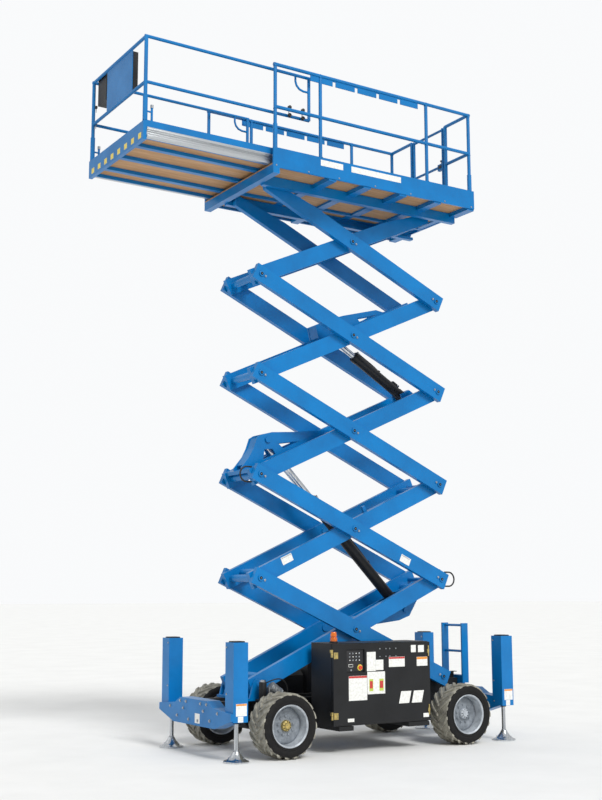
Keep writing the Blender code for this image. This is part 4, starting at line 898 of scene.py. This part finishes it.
class LIFT_OT_deck(bpy.types.Operator):
    """Hazard marks, blank fascia bars, clips, rollers, gate latch and weld rings on the platform"""
    bl_idname = "lift.deck"
    bl_label = "Platform trim"

    def execute(self, context):
        self.extension_trim()
        self.fascia()
        self.rail_trim()
        self.controls()
        return {"FINISHED"}

    def extension_trim(self):
        """Reflective squares, ribs on the channels and clips on the roll-out guardrail."""
        low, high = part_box("extension_frame")
        shape = bmesh.new()
        for index in range(8):
            y = -0.62 + index * 0.172
            slab(shape, (high.x - 0.0002, y, low.z + 0.028),
                 (high.x + 0.0006, y + 0.070, low.z + 0.088), 0.0)
        channel_low, channel_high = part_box("extension_channel_left")
        for side in (1, -1):
            outer = side * channel_high.y
            for z in (0.022, 0.046, 0.070, 0.094):
                slab(shape, (channel_low.x + 0.002, outer - side * 0.001, channel_low.z + z),
                     (channel_high.x - 0.002, outer + side * 0.0035, channel_low.z + z + 0.004), 0.001, 1)
        piece(shape, "extension_marks", "extension", ("yellow_film", "aluminium"))
        shape = bmesh.new()
        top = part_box("extension_guardrails")[1].z
        for side in (1, -1):
            x, y = high.x, side * 0.678
            for z in (top - 0.33, top - 0.52):
                slab(shape, (x - 0.055, y - side * 0.050, z),
                     (x - 0.032, y - side * 0.020, z + 0.030), 0.003)
                stud(shape, (x - 0.045, y - side * 0.035, z), (0, 0, -0.045), 0.004, 10, paint=1)
            stud(shape, (x - 0.103, y, low.z + 0.35), (0, 0, 0.035), 0.016, paint=1)
        piece(shape, "extension_clips", "extension", ("plastic", "zinc"))

    def fascia(self):
        """Plain white bars where a maker would letter the fascia."""
        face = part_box("deck_frame")[1].y
        shape = bmesh.new()
        for side in (1, -1):
            y = side * face
            for x0, x1 in ((-0.033, 0.262), (-0.832, -0.145)):
                slab(shape, (x0, y, BARS_LOW), (x1, y + side * FILM, BARS_HIGH), 0.0)
            for x in (0.83, 0.42, 0.02, -0.47, -0.97, -1.47, -1.87):
                bolt(shape, (x, y - side * 0.0005, FASCIA_BOLTS), (0, side, 0), 0.007, 1)
        piece(shape, "fascia_bars", "platform", ("white_film", "zinc"))

    def rail_trim(self):
        """Rollers that the roll-out rail runs on, weld rings at the posts, and the gate's latch."""
        low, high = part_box("deck_guardrail_left")
        rail = high.y - 0.026
        top = high.z - 0.020
        shape = bmesh.new()
        for side in (1, -1):
            y = side * rail
            for x in (0.631, 0.460):
                for z in (MID_RAIL + 0.045, MID_RAIL - 0.045):
                    stud(shape, (x, side * (rail - 0.045), z), (0, side * 0.027, 0), 0.021, 24, edge=0.003)
                stud(shape, (x, side * (rail - 0.050), MID_RAIL - 0.0506), (0, 0, 0.1), 0.006, 10, paint=1)
            for x in (high.x - 0.026, 0.2515, -1.2285, low.x + 0.026):
                for z in (top, MID_RAIL):
                    stud(shape, (x - 0.003, y, z), (0.006, 0, 0), 0.0215, paint=2)
                    stud(shape, (x, y, z - 0.024), (0, 0, 0.005), 0.0225, paint=2)
            for x in (0.25, -1.23):
                stud(shape, (x, y, POST_FOOT), (0, 0, 0.0055), 0.026, paint=2)
        piece(shape, "rail_rollers", "platform", ("plastic", "zinc", "blue"))
        shape = bmesh.new()
        gate_low, gate_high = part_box("entry_gate")
        x = (gate_low.x + gate_high.x) / 2
        slab(shape, (x - 0.022, gate_high.y - 0.085, 6.79), (x + 0.022, gate_high.y - 0.025, 6.83), 0.004)
        stud(shape, (x, gate_high.y - 0.05, 6.83), (0, 0, 0.05), 0.006, 12, paint=1)
        stud(shape, (x, gate_high.y - 0.05, 6.875), (0, 0, 0.02), 0.013, edge=0.004)
        piece(shape, "gate_latch", "gate", ("plastic", "zinc"))

    def controls(self):
        """The platform control station: lever, switches and stop button. Then the document box's lid."""
        low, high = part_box("platform_control_box")
        face, y, top = low.x, (low.y + high.y) / 2, high.z
        shape = bmesh.new()
        stud(shape, (face + 0.055, y + 0.035, top - 0.001), (0, 0, 0.013), 0.022, 24, end_radius=0.015)
        stud(shape, (face - 0.001, y - 0.045, top - 0.045), (-0.009, 0, 0), 0.018, 24, paint=2, edge=0.003)
        for index in range(4):
            stud(shape, (face + 0.001, y + 0.055 - index * 0.024, top - 0.085), (-0.007, 0, 0), 0.006, 12,
                 paint=1)
        slab(shape, (face - 0.0006, y - 0.010, top - 0.065), (face + 0.0003, y + 0.065, top - 0.025), 0.0, 3)
        for z in (top - 0.17, top - 0.24):
            slab(shape, (face + 0.0394, y - 0.070, z), (face + 0.0401, y + 0.070, z + 0.045), 0.0, 4)
        piece(shape, "platform_controls", "extension",
              ("plastic", "zinc", "red_plastic", "white_film", "cast"))
        low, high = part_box("document_box")
        shape = bmesh.new()
        x, top = low.x, high.z
        slab(shape, (x - 0.004, low.y + 0.01, top - 0.035), (x + 0.02, high.y - 0.01, top - 0.002), 0.003)
        for y in (low.y + 0.06, high.y - 0.06):
            slab(shape, (x - 0.008, y - 0.012, top - 0.075), (x + 0.001, y + 0.012, top - 0.020), 0.002, 1)
        slab(shape, (x - 0.0008, low.y + 0.07, low.z + 0.10),
             (x + 0.0004, high.y - 0.07, low.z + 0.24), 0.0, 2)
        piece(shape, "document_box_lid", "extension", ("plastic", "zinc", "white_film"))


SLOTS = ("blue", "black", "tyre", "rim", "chrome", "plywood", "aluminium", "amber")


class LIFT_OT_paint(bpy.types.Operator):
    """Gives every part of the frame its finish"""
    bl_idname = "lift.paint"
    bl_label = "Paint the frame"

    def execute(self, context):
        for node in frame["nodes"].values():
            for holder in node.material_slots:
                plain = holder.material.name.split(".")[0]
                if plain not in SLOTS:
                    raise RuntimeError(f"{node.name} has an unknown slot {plain}")
                holder.material = finish(plain)
        return {"FINISHED"}


# ---------------------------------------------------------------- stage
class LIFT_OT_stage(bpy.types.Operator):
    """Pale floor, soft light and the camera"""
    bl_idname = "lift.stage"
    bl_label = "Stage"

    def execute(self, context):
        settings = context.scene.lift_stage
        shape = bmesh.new()
        bmesh.ops.create_grid(shape, x_segments=1, y_segments=1, size=150.0)
        mesh = bpy.data.meshes.new("studio_floor")
        shape.to_mesh(mesh)
        shape.free()
        material, shader = start_finish("pale_studio_floor", {"Specular IOR Level": 0.2})
        mottle(material, shader, 900, (settings.floor, "E9E9E7"), (0.75, 0.85))
        mesh.materials.append(material)
        floor = bpy.data.objects.new("studio_floor", mesh)
        context.scene.collection.objects.link(floor)
        floor.location.z = -0.0006
        self.lights(context)
        self.camera(context, settings)
        return {"FINISHED"}

    def lights(self, context):
        world = bpy.data.worlds.new("soft_studio_sky")
        world.use_nodes = True
        world.node_tree.nodes["Background"].inputs[0].default_value = (0.98, 0.99, 1.0, 1.0)
        rays = add_node(world, "ShaderNodeLightPath")
        level = add_node(world, "ShaderNodeMapRange", {},
                         {0: rays.outputs["Is Camera Ray"], 3: 0.66, 4: 0.97})
        world.node_tree.links.new(level.outputs[0], world.node_tree.nodes["Background"].inputs[1])
        context.scene.world = world
        context.scene.view_settings.view_transform = "Standard"
        for name, energy, angle, turn in (("key", 2.1, 20, (46, 0, 180)), ("fill", 0.25, 60, (62, 0, 60))):
            light = bpy.data.lights.new(name, "SUN")
            light.energy = energy
            light.angle = math.radians(angle)
            made = bpy.data.objects.new(name, light)
            made.rotation_euler = [math.radians(a) for a in turn]
            context.scene.collection.objects.link(made)

    def camera(self, context, settings):
        data = bpy.data.cameras.new("camera")
        data.sensor_width = 36
        data.lens = settings.lens
        data.shift_x, data.shift_y = settings.shift
        data.clip_end = 500
        camera = bpy.data.objects.new("camera", data)
        camera.location = settings.place
        yaw, pitch = settings.yaw, settings.pitch
        ahead = Vector((-math.sin(yaw) * math.cos(pitch), -math.cos(yaw) * math.cos(pitch), math.sin(pitch)))
        camera.rotation_euler = ahead.to_track_quat("-Z", "Y").to_euler()
        context.scene.collection.objects.link(camera)
        context.scene.camera = camera


# ---------------------------------------------------------------- add-on
STEPS = (LIFT_OT_stage, LIFT_OT_paint, LIFT_OT_tyres, LIFT_OT_rims, LIFT_OT_pins, LIFT_OT_cylinders,
         LIFT_OT_hoses, LIFT_OT_legs, LIFT_OT_drive, LIFT_OT_cabinet, LIFT_OT_deck)
SETTINGS = (("lift_finish", FinishSettings), ("lift_wheels", WheelSettings), ("lift_trim", TrimSettings),
            ("lift_stage", StageSettings))


class LIFT_PT_panel(bpy.types.Panel):
    """Sidebar list of the steps"""
    bl_label = "Scissor Lift"
    bl_idname = "LIFT_PT_panel"
    bl_space_type = "VIEW_3D"
    bl_region_type = "UI"
    bl_category = "Scissor Lift"

    def draw(self, context):
        for step in STEPS:
            self.layout.operator(step.bl_idname)
        for name, group in SETTINGS:
            column = self.layout.column()
            for key in group.__annotations__:
                column.prop(getattr(context.scene, name), key)


def register():
    for name, group in SETTINGS:
        bpy.utils.register_class(group)
        setattr(bpy.types.Scene, name, bpy.props.PointerProperty(type=group))
    for step in STEPS:
        bpy.utils.register_class(step)
    bpy.utils.register_class(LIFT_PT_panel)


def unregister():
    bpy.utils.unregister_class(LIFT_PT_panel)
    for step in reversed(STEPS):
        bpy.utils.unregister_class(step)
    for name, group in reversed(SETTINGS):
        delattr(bpy.types.Scene, name)
        bpy.utils.unregister_class(group)


def main():
    register()
    for step in STEPS:
        group, name = step.bl_idname.split(".")
        getattr(getattr(bpy.ops, group), name)()
    bpy.context.view_layer.update()


if __name__ == "__main__":
    main()
